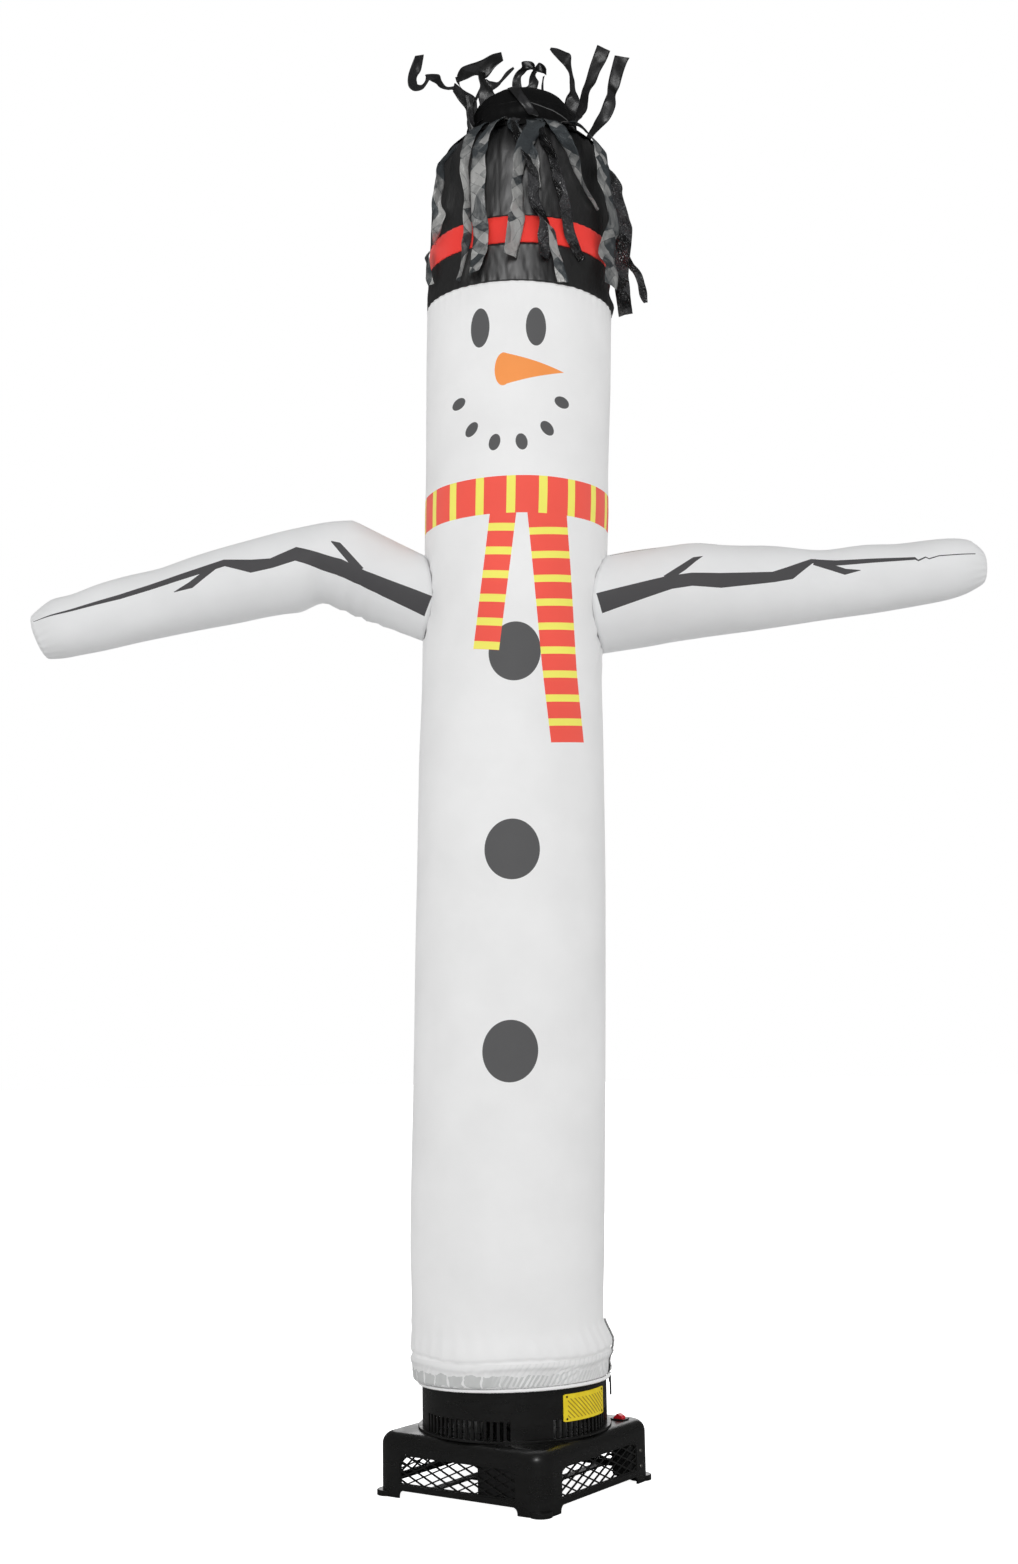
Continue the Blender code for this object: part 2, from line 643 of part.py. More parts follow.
def make_housing(base):
    steps = 3
    outer, inner = [rounded_square(HALF_SIDE, CORNER, 0.0)], []
    for i in range(steps + 1):
        turn = math.pi / 2 * i / steps
        inset = SHOULDER * (1 - math.cos(turn))
        z = DECK_Z - SHOULDER + SHOULDER * math.sin(turn)
        outer.append(rounded_square(HALF_SIDE - inset, CORNER - inset, z))
        within, under = max(inset, WALL), z - WALL * math.sin(turn)
        inner.append(rounded_square(HALF_SIDE - within, CORNER - within, under))
    hole = DRUM_RADIUS - DRUM_WALL
    outer.append(circle_like(outer[-1], hole, DECK_Z))
    inner.append(circle_like(inner[-1], hole, DECK_Z - WALL))
    bottom = rounded_square(HALF_SIDE - WALL, CORNER - WALL, 0.0)
    shape = bmesh.new()
    add_loft(shape, outer + inner[::-1] + [bottom], closed=True)
    housing = new_object("blower_housing", shape, "black_plastic", base)

    ears = bmesh.new()
    reach = (HALF_SIDE - CORNER) * math.sqrt(2) + CORNER + EAR_OUT - EAR_RADIUS
    for k in range(4):
        a = CORNER_ANGLE + k * math.pi / 2
        centre = (reach * math.cos(a), reach * math.sin(a))
        rings = [[Vector((x, y, z)) for x, y in list(arc(centre, EAR_RADIUS, 0, 2 * math.pi, 16))[:-1]]
                 for z in (0.0, EAR_HIGH)]
        add_solid_loft(ears, rings)
    boolean(housing, new_object("guide_ears", ears, parent=base), "UNION")

    for axis in ("X", "Y"):
        cutter = bmesh.new()
        through_walls(cutter, window_profile(), axis)
        through_walls(cutter, foot_gap_profile(), axis)
        if axis == "X":
            size = (SWITCH_BODY[0] + 2 * GAP, SWITCH_BODY[1] + 2 * GAP, 0.02)
            add_box(cutter, *centred_box((*SWITCH_AT, DECK_Z), size))
        boolean(housing, new_object(f"guide_openings_{axis}", cutter, parent=base), "DIFFERENCE")


def clip_polygon(polygon, clip):
    """A convex polygon cut to another convex one, both anticlockwise."""
    for a, b in zip(clip, clip[1:] + clip[:1]):
        kept = []
        for p, q in zip(polygon, polygon[1:] + polygon[:1]):
            inside_p = (b[0] - a[0]) * (p[1] - a[1]) - (b[1] - a[1]) * (p[0] - a[0])
            inside_q = (b[0] - a[0]) * (q[1] - a[1]) - (b[1] - a[1]) * (q[0] - a[0])
            if inside_p >= 0:
                kept.append(p)
            if inside_p * inside_q < 0:
                t = inside_p / (inside_p - inside_q)
                kept.append((p[0] + (q[0] - p[0]) * t, p[1] + (q[1] - p[1]) * t))
        polygon = kept
    return polygon


def polygon_area(polygon):
    return sum(p[0] * q[1] - q[0] * p[1] for p, q in zip(polygon, polygon[1:] + polygon[:1])) / 2


def lattice_cells():
    """The openings of a grille: diamonds in rows, clipped to the window's edge."""
    edge = window_profile(GAP + GRILLE_EDGE)
    wide = CELL_WIDE / 2 - BAR / 2 / math.sin(math.atan2(CELL_HIGH, CELL_WIDE))
    high = wide * CELL_HIGH / CELL_WIDE
    columns = math.ceil(WINDOW_HALF / CELL_WIDE) * 2
    middle = (WINDOW_LOW + WINDOW_HIGH) / 2
    cells = []
    for i in range(-columns, columns + 1):
        for j in range(-4, 5):
            if (i + j) % 2:
                continue
            x, z = i * CELL_WIDE / 2, middle + j * CELL_HIGH / 2
            diamond = [(x + wide, z), (x, z + high), (x - wide, z), (x, z - high)]
            cell = clip_polygon(diamond, edge)
            if len(cell) > 2 and polygon_area(cell) > 2.5e-5:
                cells.append(cell)
    return cells


def make_grilles(base):
    face = HALF_SIDE - GAP
    back = face - GRILLE_THICK
    for k, side in enumerate(("front_left", "front_right", "back_right", "back_left")):
        turn = Matrix.Rotation(k * math.pi / 2, 3, "Z")

        def place(point, end, depths):
            return turn @ Vector((point[0], -depths[end], point[1]))

        plate = bmesh.new()
        add_prism(plate, window_profile(GAP), lambda p, end: place(p, end, (face, back)))
        holes = bmesh.new()
        for cell in lattice_cells():
            add_prism(holes, cell, lambda p, end: place(p, end, (face + 0.002, back - 0.002)))
        grille = new_object(f"grille_{side}", plate, "black_plastic", base)
        boolean(grille, new_object(f"guide_cells_{side}", holes, parent=base), "DIFFERENCE")


def slot_edges():
    """Angles round the drum of the slots' edges and of points between the groups."""
    marks = []
    for k in range(4):
        middle = k * math.pi / 2
        first = middle - (SLOTS_PER_GROUP - 1) * SLOT_PITCH / 2
        for i in range(SLOTS_PER_GROUP):
            centre = first + i * SLOT_PITCH
            marks += [(centre - SLOT_WIDTH / 2, True), (centre + SLOT_WIDTH / 2, False)]
        rest_from = marks[-1][0]
        rest = 2 * math.pi / 4 - (rest_from - (first - SLOT_WIDTH / 2))
        marks += [(rest_from + rest * i / 4, False) for i in (1, 2, 3)]
    return marks


def make_drum(base):
    """A ring wall with a foot flange and four groups of upright slots."""
    marks = slot_edges()
    inner_radius = DRUM_RADIUS - DRUM_WALL
    low = DECK_Z + GAP
    shape = bmesh.new()

    def ring(radius, z):
        return [shape.verts.new((radius * math.cos(a), radius * math.sin(a), z)) for a, _ in marks]

    def skin(lower, upper, skip_slots=False):
        for i, (_, is_slot) in enumerate(marks):
            if not (skip_slots and is_slot):
                j = (i + 1) % len(marks)
                shape.faces.new((lower[i], lower[j], upper[j], upper[i]))

    heights = (low + FLANGE_HIGH, SLOT_HIGH_Z, DRUM_TOP_Z)
    outer = [ring(DRUM_RADIUS, z) for z in heights]
    inner = [ring(inner_radius, z) for z in heights]
    foot = [ring(radius, low) for radius in (inner_radius, DRUM_RADIUS + FLANGE_OUT)]
    flange = ring(DRUM_RADIUS + FLANGE_OUT, low + FLANGE_HIGH)
    for wall in (outer, inner):
        skin(wall[0], wall[1], skip_slots=True)
        skin(wall[1], wall[2])
    skin(inner[0], foot[0])
    skin(foot[0], foot[1])
    skin(foot[1], flange)
    skin(flange, outer[0])
    skin(outer[2], inner[2])
    for i, (_, is_slot) in enumerate(marks):
        if is_slot:
            j = (i + 1) % len(marks)
            for wall_z in (0, 1):
                shape.faces.new((outer[wall_z][i], outer[wall_z][j], inner[wall_z][j], inner[wall_z][i]))
            for k in (i, j):
                shape.faces.new((outer[0][k], outer[1][k], inner[1][k], inner[0][k]))
    new_object("blower_drum", shape, "black_plastic", base)


def make_plate():
    """A bare plate bent round the drum."""
    low, steps = DRUM_RADIUS + GAP, 8
    rings = []
    for i in range(steps + 1):
        a = PLATE_FROM + (PLATE_TO - PLATE_FROM) * i / steps
        out = Vector((math.sin(a), -math.cos(a), 0))
        rings.append([out * r + Vector((0, 0, z)) for r, z in (
            (low, PLATE_LOW_Z), (low + PLATE_THICK, PLATE_LOW_Z),
            (low + PLATE_THICK, PLATE_HIGH_Z), (low, PLATE_HIGH_Z))])
    shape = bmesh.new()
    add_solid_loft(shape, rings)
    new_object("drum_plate", shape, "yellow_plate")


def make_motor(base):
    """The motor's can, standing on two straps and two cross straps below it."""
    end = HALF_SIDE - WALL - GAP
    straps, crosses = bmesh.new(), bmesh.new()
    for side in (-1, 1):
        low, high = centred_box((side * STRAP_AT, 0, STRAP_Z + STRAP_THICK / 2),
                                (STRAP_WIDTH, 2 * end, STRAP_THICK))
        add_box(straps, low, high)
        low, high = centred_box((0, side * CROSS_AT, STRAP_Z + STRAP_THICK / 2),
                                (2 * STRAP_AT, STRAP_WIDTH, STRAP_THICK))
        add_box(crosses, low, high)
    cradle = new_object("motor_cradle", straps, "motor_metal", base)
    boolean(cradle, new_object("guide_crosses", crosses, parent=base), "UNION")

    bottom = STRAP_Z + STRAP_THICK + GAP
    edge = 0.006
    profile = ((MOTOR_RADIUS - edge, bottom), (MOTOR_RADIUS, bottom + edge),
               (MOTOR_RADIUS, bottom + MOTOR_HIGH - edge), (MOTOR_RADIUS - edge, bottom + MOTOR_HIGH))
    rings = [[Vector((x, y, z)) for x, y in list(arc((0, 0), radius, 0, 2 * math.pi, 24))[:-1]]
             for radius, z in profile]
    shape = bmesh.new()
    add_solid_loft(shape, rings)
    new_object("motor_can", shape, "motor_metal", base)


def make_switch(base):
    """A bezel with a well, and the rocker that tips in it about its short side."""
    x, y = SWITCH_AT
    shape = bmesh.new()
    add_box(shape, *centred_box((x, y, DECK_Z + GAP + BEZEL[2] / 2), BEZEL))
    bezel = new_object("switch_bezel", shape, "black_plastic", base)
    stem = bmesh.new()
    top = DECK_Z + GAP + BEZEL[2] / 2
    add_box(stem, *centred_box((x, y, top - SWITCH_BODY[2] / 2), SWITCH_BODY))
    boolean(bezel, new_object("guide_switch_body", stem, parent=base), "UNION")
    well = bmesh.new()
    rim = DECK_Z + GAP + BEZEL[2]
    floor = rim - WELL[2]
    add_box(well, Vector((x - WELL[0] / 2, y - WELL[1] / 2, floor)),
            Vector((x + WELL[0] / 2, y + WELL[1] / 2, rim + 0.01)))
    boolean(bezel, new_object("guide_switch_well", well, parent=base), "DIFFERENCE")

    half = ROCKER[0] / 2
    belly = arc((0, 0), ROCKER_DEEP, math.radians(215), math.radians(325), 4)
    profile = [(half, -0.001), (half, ROCKER_END_HIGH), (0, ROCKER_MIDDLE_HIGH),
               (-half, ROCKER_END_HIGH), (-half, -0.001), *belly]
    shape = bmesh.new()
    add_prism(shape, profile, lambda p, side: Vector((p[0], (-0.5, 0.5)[side] * ROCKER[1], p[1])))
    rocker = new_object("switch_rocker", shape, "red_plastic", base)
    rocker.location = (x, y, floor + GAP + ROCKER_DEEP)
    rocker.rotation_euler = (0, -ROCKER_TILT, 0)


def make_screws(base):
    for name, place in zip(("screw_high", "screw_low"), SCREWS):
        rings = []
        for share, out in ((1.0, 0.0), (0.85, 0.6), (0.45, 1.0)):
            depth = HALF_SIDE + GAP + SCREW_HIGH * out
            circle = list(arc((place.along, place.z), SCREW_RADIUS * share, 0, 2 * math.pi, 10))[:-1]
            rings.append([Vector((depth, y, z)) for y, z in circle])
        shape = bmesh.new()
        add_solid_loft(shape, rings)
        new_object(name, shape, "screw_steel", base)


def main():
    clear_scene()
    trim = make_arm_trim()
    plugs = [make_arm_plug("guide_left_hole", LEFT_ARM), make_arm_plug("guide_right_hole", RIGHT_ARM)]
    make_body_tube(plugs)
    make_hem_binding()
    make_hat()
    make_zip()
    make_arm("arm_left", LEFT_ARM, -1, trim)
    make_arm("arm_right", RIGHT_ARM, 1, trim)
    make_hanging_fringe("fringe_silver", "silver_cloth", 0, SILVER_TAPE_Z)
    make_hanging_fringe("fringe_black", "black_cloth", 1, BLACK_TAPE_Z)
    make_top_fringe()

    base = bpy.data.objects.new("blower_frame", None)
    bpy.context.scene.collection.objects.link(base)
    base.rotation_euler = (0, 0, BASE_TURN)
    make_housing(base)
    make_grilles(base)
    make_drum(base)
    make_plate()
    make_motor(base)
    make_switch(base)
    make_screws(base)
    bpy.context.view_layer.update()


main()
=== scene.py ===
"""The inflatable air dancer on its blower: cloth skins with their prints, streamers,
the blower's fine grilles, and every finish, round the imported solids.

Metres, +Z up, the dancer's front towards -Y. Angles round the tube start at the front
and grow towards +X.
"""

from math import atan2, cos, exp, hypot, pi, radians, sin, sqrt

import bmesh
import bpy
from mathutils import Matrix, Vector, noise


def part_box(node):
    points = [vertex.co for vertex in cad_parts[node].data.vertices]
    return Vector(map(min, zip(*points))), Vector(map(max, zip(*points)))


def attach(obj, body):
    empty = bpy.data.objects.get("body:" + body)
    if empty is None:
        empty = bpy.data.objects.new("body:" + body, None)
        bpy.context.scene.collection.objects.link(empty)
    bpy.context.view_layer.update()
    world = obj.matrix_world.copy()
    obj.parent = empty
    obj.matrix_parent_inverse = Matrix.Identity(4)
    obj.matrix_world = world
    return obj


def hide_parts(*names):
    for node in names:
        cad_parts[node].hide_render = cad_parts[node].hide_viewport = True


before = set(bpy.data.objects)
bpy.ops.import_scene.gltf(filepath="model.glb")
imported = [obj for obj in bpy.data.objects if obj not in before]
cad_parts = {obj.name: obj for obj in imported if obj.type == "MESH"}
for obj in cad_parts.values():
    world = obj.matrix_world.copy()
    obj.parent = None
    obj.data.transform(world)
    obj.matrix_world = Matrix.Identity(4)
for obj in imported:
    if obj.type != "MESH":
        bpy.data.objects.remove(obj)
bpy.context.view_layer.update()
BODY, ROCKER = "dancer", "rocker"

# --- Form: the solids', fitted once more to the photo's outline ----------------------
# height, sideways place of the axis, radius
TUBE_ROWS = (
    (0.1653, -0.003, 0.1480), (0.1680, -0.005, 0.1504), (0.176, -0.005, 0.1514),
    (0.188, -0.005, 0.1522), (0.202, -0.004, 0.1554), (0.218, -0.003, 0.1566),
    (0.250, -0.0092, 0.1497),
    (0.371, -0.0066, 0.1518), (0.650, 0.0004, 0.1514), (0.934, 0.0080, 0.1517),
    (1.128, 0.0107, 0.1494), (1.260, 0.0145, 0.1455), (1.430, 0.0220, 0.1482),
    (1.530, 0.0260, 0.1513), (1.595, 0.0279, 0.1508), (1.740, 0.0332, 0.1525),
    (1.879, 0.0360, 0.1520),
)
HAT_ROWS = (
    (1.905, 0.035, 0.1512), (1.944, 0.036, 0.1498), (1.989, 0.038, 0.1492),
    (2.093, 0.043, 0.1478), (2.122, 0.045, 0.1435), (2.150, 0.047, 0.1300),
    (2.168, 0.048, 0.1120), (2.180, 0.048, 0.0940),
)
CAP_ROWS = (
    (2.1540, 0.048, 0.1325), (2.1620, 0.048, 0.1243), (2.1700, 0.048, 0.1155),
    (2.1780, 0.048, 0.1040), (2.1860, 0.048, 0.0955), (2.194, 0.048, 0.0915), (2.207, 0.048, 0.0910),
    (2.236, 0.048, 0.0810), (2.256, 0.048, 0.0580), (2.265, 0.048, 0.0300),
)
OUTLINE = TUBE_ROWS + HAT_ROWS
HEM_Z, SEAM_Z, BAND_LOW_Z, BAND_HIGH_Z, CROWN_TOP_Z = 0.1653, 1.879, 1.944, 1.989, 2.180
HEM_RISE, HEM_RISE_AT, HEM_LEVEL_Z = 0.006, radians(33), 0.24
SEAM_SLOPE = 0.025
CASING_Z = 0.2035  # the stitched top of the hem's casing
HEM_ROLL_AT, HEM_ROLL_RADIUS = (0.1466, 0.1624), 0.0025  # its middle's radius and height
ZIP_AT = radians(90)
ZIP_BELOW, ZIP_TOP_Z = 0.0120, 0.2485  # how far the tape hangs below the hem, and its top

# top x, top z, low x, low z of each section
LEFT_ARM = (
    (-0.0700, 1.4420, -0.0750, 1.3020), (-0.1012, 1.4574, -0.1282, 1.3283),
    (-0.1273, 1.4705, -0.1445, 1.3355), (-0.1634, 1.4886, -0.1901, 1.3541),
    (-0.1996, 1.5072, -0.2292, 1.3690), (-0.2373, 1.5271, -0.2651, 1.3846),
    (-0.2490, 1.5293, -0.2977, 1.3959), (-0.2820, 1.5273, -0.3305, 1.3816),
    (-0.3149, 1.5216, -0.3567, 1.3781), (-0.3641, 1.5116, -0.3928, 1.3723),
    (-0.4134, 1.4989, -0.4322, 1.3647), (-0.4626, 1.4851, -0.4763, 1.3569),
    (-0.5118, 1.4707, -0.5221, 1.3487), (-0.5609, 1.4547, -0.5662, 1.3397),
    (-0.6100, 1.4438, -0.6119, 1.3306), (-0.6590, 1.4304, -0.6543, 1.3223),
    (-0.6997, 1.4156, -0.6902, 1.3155), (-0.7371, 1.4062, -0.7196, 1.3102),
    (-0.7680, 1.3810, -0.7420, 1.3100),
)
RIGHT_ARM = (
    (0.1100, 1.4500, 0.0950, 1.2930), (0.1487, 1.4591, 0.1357, 1.3006),
    (0.1817, 1.4658, 0.1700, 1.3042), (0.2147, 1.4706, 0.2043, 1.3088),
    (0.2478, 1.4748, 0.2403, 1.3141), (0.2808, 1.4773, 0.2764, 1.3204),
    (0.3187, 1.4809, 0.3157, 1.3257), (0.3598, 1.4799, 0.3583, 1.3312),
    (0.4124, 1.4764, 0.4141, 1.3385), (0.4665, 1.4726, 0.4699, 1.3464),
    (0.5190, 1.4692, 0.5225, 1.3534), (0.5569, 1.4703, 0.5619, 1.3578),
    (0.5981, 1.4737, 0.6046, 1.3629), (0.6394, 1.4769, 0.6474, 1.3694),
    (0.6807, 1.4814, 0.6886, 1.3756), (0.7218, 1.4835, 0.7265, 1.3821),
    (0.7514, 1.4833, 0.7548, 1.3901), (0.7709, 1.4792, 0.7716, 1.3980),
    (0.7850, 1.4670, 0.7880, 1.4080),
)
ARM_END = 0.007  # how far the closed end bulges
# shares of the radius and of the bulge
ARM_END_ROUND = ((0.97, 0.12), (0.90, 0.38), (0.78, 0.62), (0.6, 0.82), (0.38, 0.94), (0.16, 0.99))


# --- Camera, light and stage ---------------------------------------------------------
EYE = Vector((0.006664, -3.054, 0.675))
PITCH, ROLL, LENS = 0.1362, -0.016, 43.90
DOME = (1.32, 0.27)  # the strength at the horizon and overhead
MIRRORED_DOME = 0.07


def linked(name, data):
    """A new object in the scene."""
    obj = bpy.data.objects.new(name, data)
    bpy.context.scene.collection.objects.link(obj)
    return obj


def add_camera():
    data = bpy.data.cameras.new("camera")
    data.sensor_fit, data.sensor_height, data.lens = "VERTICAL", 36.0, LENS
    forward = Vector((0, cos(PITCH), sin(PITCH)))
    level_right, level_up = Vector((1, 0, 0)), Vector((0, -sin(PITCH), cos(PITCH)))
    right = cos(ROLL) * level_right + sin(ROLL) * level_up
    up = cos(ROLL) * level_up - sin(ROLL) * level_right
    camera = linked("camera", data)
    turn = Matrix((right, up, -forward)).transposed().to_4x4()
    camera.matrix_world = Matrix.Translation(EYE) @ turn
    bpy.context.scene.camera = camera


def add_area_light(name, place, aim, size, power):
    data = bpy.data.lights.new(name, "AREA")
    data.shape, data.energy = "RECTANGLE", power
    data.size, data.size_y = size
    lamp = linked(name, data)
    lamp.location = place
    lamp.rotation_euler = (Vector(aim) - Vector(place)).to_track_quat("-Z", "Y").to_euler()
    lamp.visible_camera = False


def node(source, kind, inputs=None, out=0, **settings):
    """One shader node in a tree, or in the tree of a socket; an input's value is a socket
    or a plain value."""
    tree = source.id_data if isinstance(source, bpy.types.NodeSocket) else source
    made = tree.nodes.new(f"ShaderNode{kind}")
    for key, value in settings.items():
        setattr(made, key, value)
    for key, value in (inputs or {}).items():
        if isinstance(value, bpy.types.NodeSocket):
            tree.links.new(value, made.inputs[key])
        else:
            made.inputs[key].default_value = value
    return made.outputs[out] if len(made.outputs) else made


def put(value, socket):
    value.id_data.links.new(value, socket)


def place_of(source, kind="Object"):
    return node(source, "TexCoord", out=kind)


def parts(place):
    """The x, y and z of a vector."""
    return node(place, "SeparateXYZ", {0: place}).node.outputs


def calc(operation, *values):
    source = next(value for value in values if isinstance(value, bpy.types.NodeSocket))
    return node(source, "Math", dict(enumerate(values)), operation=operation)


def vector_calc(operation, *values, out=0):
    return node(values[0], "VectorMath", dict(enumerate(values)), out, operation=operation)


def seen_by(tree, kind):
    return node(tree, "LightPath", out=f"Is {kind} Ray")


def mapped(value, low, high, to_low, to_high):
    return node(value, "MapRange", {"Value": value, "From Min": low, "From Max": high,
                                    "To Min": to_low, "To Max": to_high})


def mix_number(share, low, high):
    return node(share, "Mix", {0: share, 2: low, 3: high}, data_type="FLOAT")


def mix_colour(share, low, high):
    return node(share, "Mix", {0: share, 6: low, 7: high}, out=2, data_type="RGBA")


def add_world():
    world = bpy.data.worlds.new("studio")
    world.use_nodes = True
    tree = world.node_tree
    tree.nodes.clear()
    up = parts(place_of(tree, "Generated"))[2]
    level = mapped(up, 0.0, 1.0, *DOME)
    level = mix_number(seen_by(tree, "Glossy"), level, MIRRORED_DOME)
    level = mix_number(seen_by(tree, "Camera"), level, 1.0)
    sky = node(tree, "Background", {"Color": (1, 1, 1, 1), "Strength": level})
    node(tree, "OutputWorld", {"Surface": sky})
    bpy.context.scene.world = world


def add_floor():
    bpy.ops.mesh.primitive_plane_add(size=60, location=(0, 0, -0.0006))
    floor = bpy.context.object
    floor.name = "floor"
    material = bpy.data.materials.new("floor_paint")
    material.use_nodes = True
    tree = material.node_tree
    tree.nodes.clear()
    grey = mix_colour(seen_by(tree, "Glossy"), (0.84, 0.84, 0.84, 1), (0.12, 0.12, 0.12, 1))
    diffuse = node(tree, "BsdfDiffuse", {"Color": grey})
    lift = calc("MULTIPLY", seen_by(tree, "Camera"), 0.95)
    glow = node(tree, "Emission", {"Color": (1, 1, 1, 1), "Strength": lift})
    both = node(tree, "AddShader", {0: diffuse, 1: glow})
    node(tree, "OutputMaterial", {"Surface": both})
    floor.data.materials.append(material)


def add_lights():
    bpy.context.scene.view_settings.view_transform = "Standard"
    add_world()
    add_floor()
    add_area_light("front", (-0.35, -4.6, 2.9), (-0.1, 0, 2.9), (1.2, 2.0), 48)
    add_area_light("back", (0.5, 4.6, 1.6), (0, 0, 1.2), (2.4, 3.0), 30)


# --- Materials -----------------------------------------------------------------------
def dress(shader, **values):
    """Gives a shader's inputs sockets or plain values; _ stands for a space."""
    for key, value in values.items():
        socket = shader.inputs[key.replace("_", " ")]
        if isinstance(value, bpy.types.NodeSocket):
            put(value, socket)
        else:
            socket.default_value = value


def new_material(name, **values):
    """A Principled material; returns it, its tree and its shader node."""
    material = bpy.data.materials.new(name)
    material.use_nodes = True
    tree = material.node_tree
    shader = tree.nodes["Principled BSDF"]
    dress(shader, **values)
    return material, tree, shader


def blotch(place, scale, detail=2.0, rough=0.5):
    return node(place, "TexNoise", {"Vector": place, "Scale": scale, "Detail": detail,
                                    "Roughness": rough})


def bump(height, distance, strength, under=None):
    inputs = {"Height": height, "Distance": distance, "Strength": strength}
    if under is not None:
        inputs["Normal"] = under
    return node(height, "Bump", inputs)


def srgb(r, g, b):
    def linear(c):
        c /= 255
        return c / 12.92 if c <= 0.04045 else ((c + 0.055) / 1.055) ** 2.4

    return linear(r), linear(g), linear(b), 1.0


# --- Print masks ---------------------------------------------------------------------
def mask_group(name, sockets):
    """An empty node group from a place and named vectors to a mask."""
    group = bpy.data.node_groups.new(name, "ShaderNodeTree")
    for socket in ("Place", *sockets):
        group.interface.new_socket(socket, in_out="INPUT", socket_type="NodeSocketVector")
    group.interface.new_socket("Mask", in_out="OUTPUT", socket_type="NodeSocketFloat")
    return group, group.nodes.new("NodeGroupInput").outputs


def give_mask(group, mask):
    put(mask, group.nodes.new("NodeGroupOutput").inputs["Mask"])
    return group


def make_quad_group():
    """Mask of a convex quad: each vector is an edge's line, above 0 inside."""
    group, given = mask_group("quad_mask", "ABCD")
    a, b, c, d = [vector_calc("DOT_PRODUCT", given["Place"], given[edge], out="Value")
                  for edge in "ABCD"]
    least = calc("MINIMUM", calc("MINIMUM", a, b), calc("MINIMUM", c, d))
    return give_mask(group, calc("GREATER_THAN", least, 0.0))


def make_ellipse_group():
    """Mask of an ellipse; Turn's z is how far it is turned, in radians."""
    group, given = mask_group("ellipse_mask", ("Centre", "Radii", "Turn"))
    away = vector_calc("SUBTRACT", given["Place"], given["Centre"])
    angle = parts(given["Turn"])[2]
    turned = node(group, "VectorRotate", {"Vector": away, "Angle": angle}, rotation_type="Z_AXIS",
                  invert=True)
    unit = vector_calc("DIVIDE", turned, given["Radii"])
    far = vector_calc("LENGTH", unit, out="Value")
    return give_mask(group, calc("LESS_THAN", far, 1.0))


QUAD_GROUP, ELLIPSE_GROUP = make_quad_group(), make_ellipse_group()


def edge_line(a, b):
    """The line a to b as a vector whose product with (u, v, 1) is above 0 on its left."""
    nx, nz = -(b[1] - a[1]), b[0] - a[0]
    return nx, nz, -(a[0] * nx + a[1] * nz)


def doubled_area(polygon):
    return sum(a[0] * b[1] - b[0] * a[1] for a, b in zip(polygon, polygon[1:] + polygon[:1]))


def quad_mask(place, corners):
    if doubled_area(corners) < 0:
        corners = corners[::-1]
    edges = [edge_line(a, b) for a, b in zip(corners, corners[1:] + corners[:1])]
    return node(place, "Group", {"Place": place, **dict(zip("ABCD", edges))}, node_tree=QUAD_GROUP)


def ellipse_mask(place, centre, radii, turn=0.0):
    inputs = {"Place": place, "Centre": (*centre, 1.0), "Radii": (*radii, 1.0), "Turn": (0, 0, turn)}
    return node(place, "Group", inputs, node_tree=ELLIPSE_GROUP)


def any_of(masks):
    total = masks[0]
    for mask in masks[1:]:
        total = calc("MAXIMUM", total, mask)
    return total


def stroke_quads(points):
    """Quads of a line through (x, z, half width) points, mitred at its bends."""
    sides = []
    for i, (x, z, half) in enumerate(points):
        before, after = points[max(i - 1, 0)], points[min(i + 1, len(points) - 1)]
        along = Vector((after[0] - before[0], after[1] - before[1])).normalized() * half
        sides.append(((x - along.y, z + along.x), (x + along.y, z - along.x)))
    return [[a[0], a[1], b[1], b[0]] for a, b in zip(sides, sides[1:])]


def print_place(u, v):
    return node(u, "CombineXYZ", {0: u, 1: v, 2: 1.0})


# --- Form helpers --------------------------------------------------------------------
def fade(value, low, high):
    """0 below low, 1 above high, smooth between; falls where low is above high."""
    t = min(1.0, max(0.0, (value - low) / (high - low)))
    return t * t * (3 - 2 * t)


def bell(value, centre, width):
    return exp(-(((value - centre) / width) ** 2))


def fold(value):
    """A zigzag between -1 and 1 of period 1."""
    return 4 * abs(value % 1 - 0.5) - 1


def rough(x, y, z, scale, seed=0.0):
    return noise.noise(Vector((x, y, z)) * scale + Vector((seed, 1.7 * seed, -seed)))


def smooth_at(rows, z):
    """(x, radius, slope of the radius) of a table of rows at a height, by cubics."""
    z = min(max(z, rows[0][0]), rows[-1][0])
    i = next(k for k in range(len(rows) - 1) if z <= rows[k + 1][0])
    a, b = rows[i], rows[i + 1]
    before, after = rows[max(i - 1, 0)], rows[min(i + 2, len(rows) - 1)]
    span = b[0] - a[0]
    t = (z - a[0]) / span
    start = (b[2] - before[2]) / (b[0] - before[0]) * span
    stop = (after[2] - a[2]) / (after[0] - a[0]) * span
    radius = ((2 * t**3 - 3 * t**2 + 1) * a[2] + (t**3 - 2 * t**2 + t) * start
              + (3 * t**2 - 2 * t**3) * b[2] + (t**3 - t**2) * stop)
    rise = ((6 * t**2 - 6 * t) * (a[2] - b[2]) + (3 * t**2 - 4 * t + 1) * start
            + (3 * t**2 - 2 * t) * stop)
    return a[1] + (b[1] - a[1]) * t, radius, rise / span


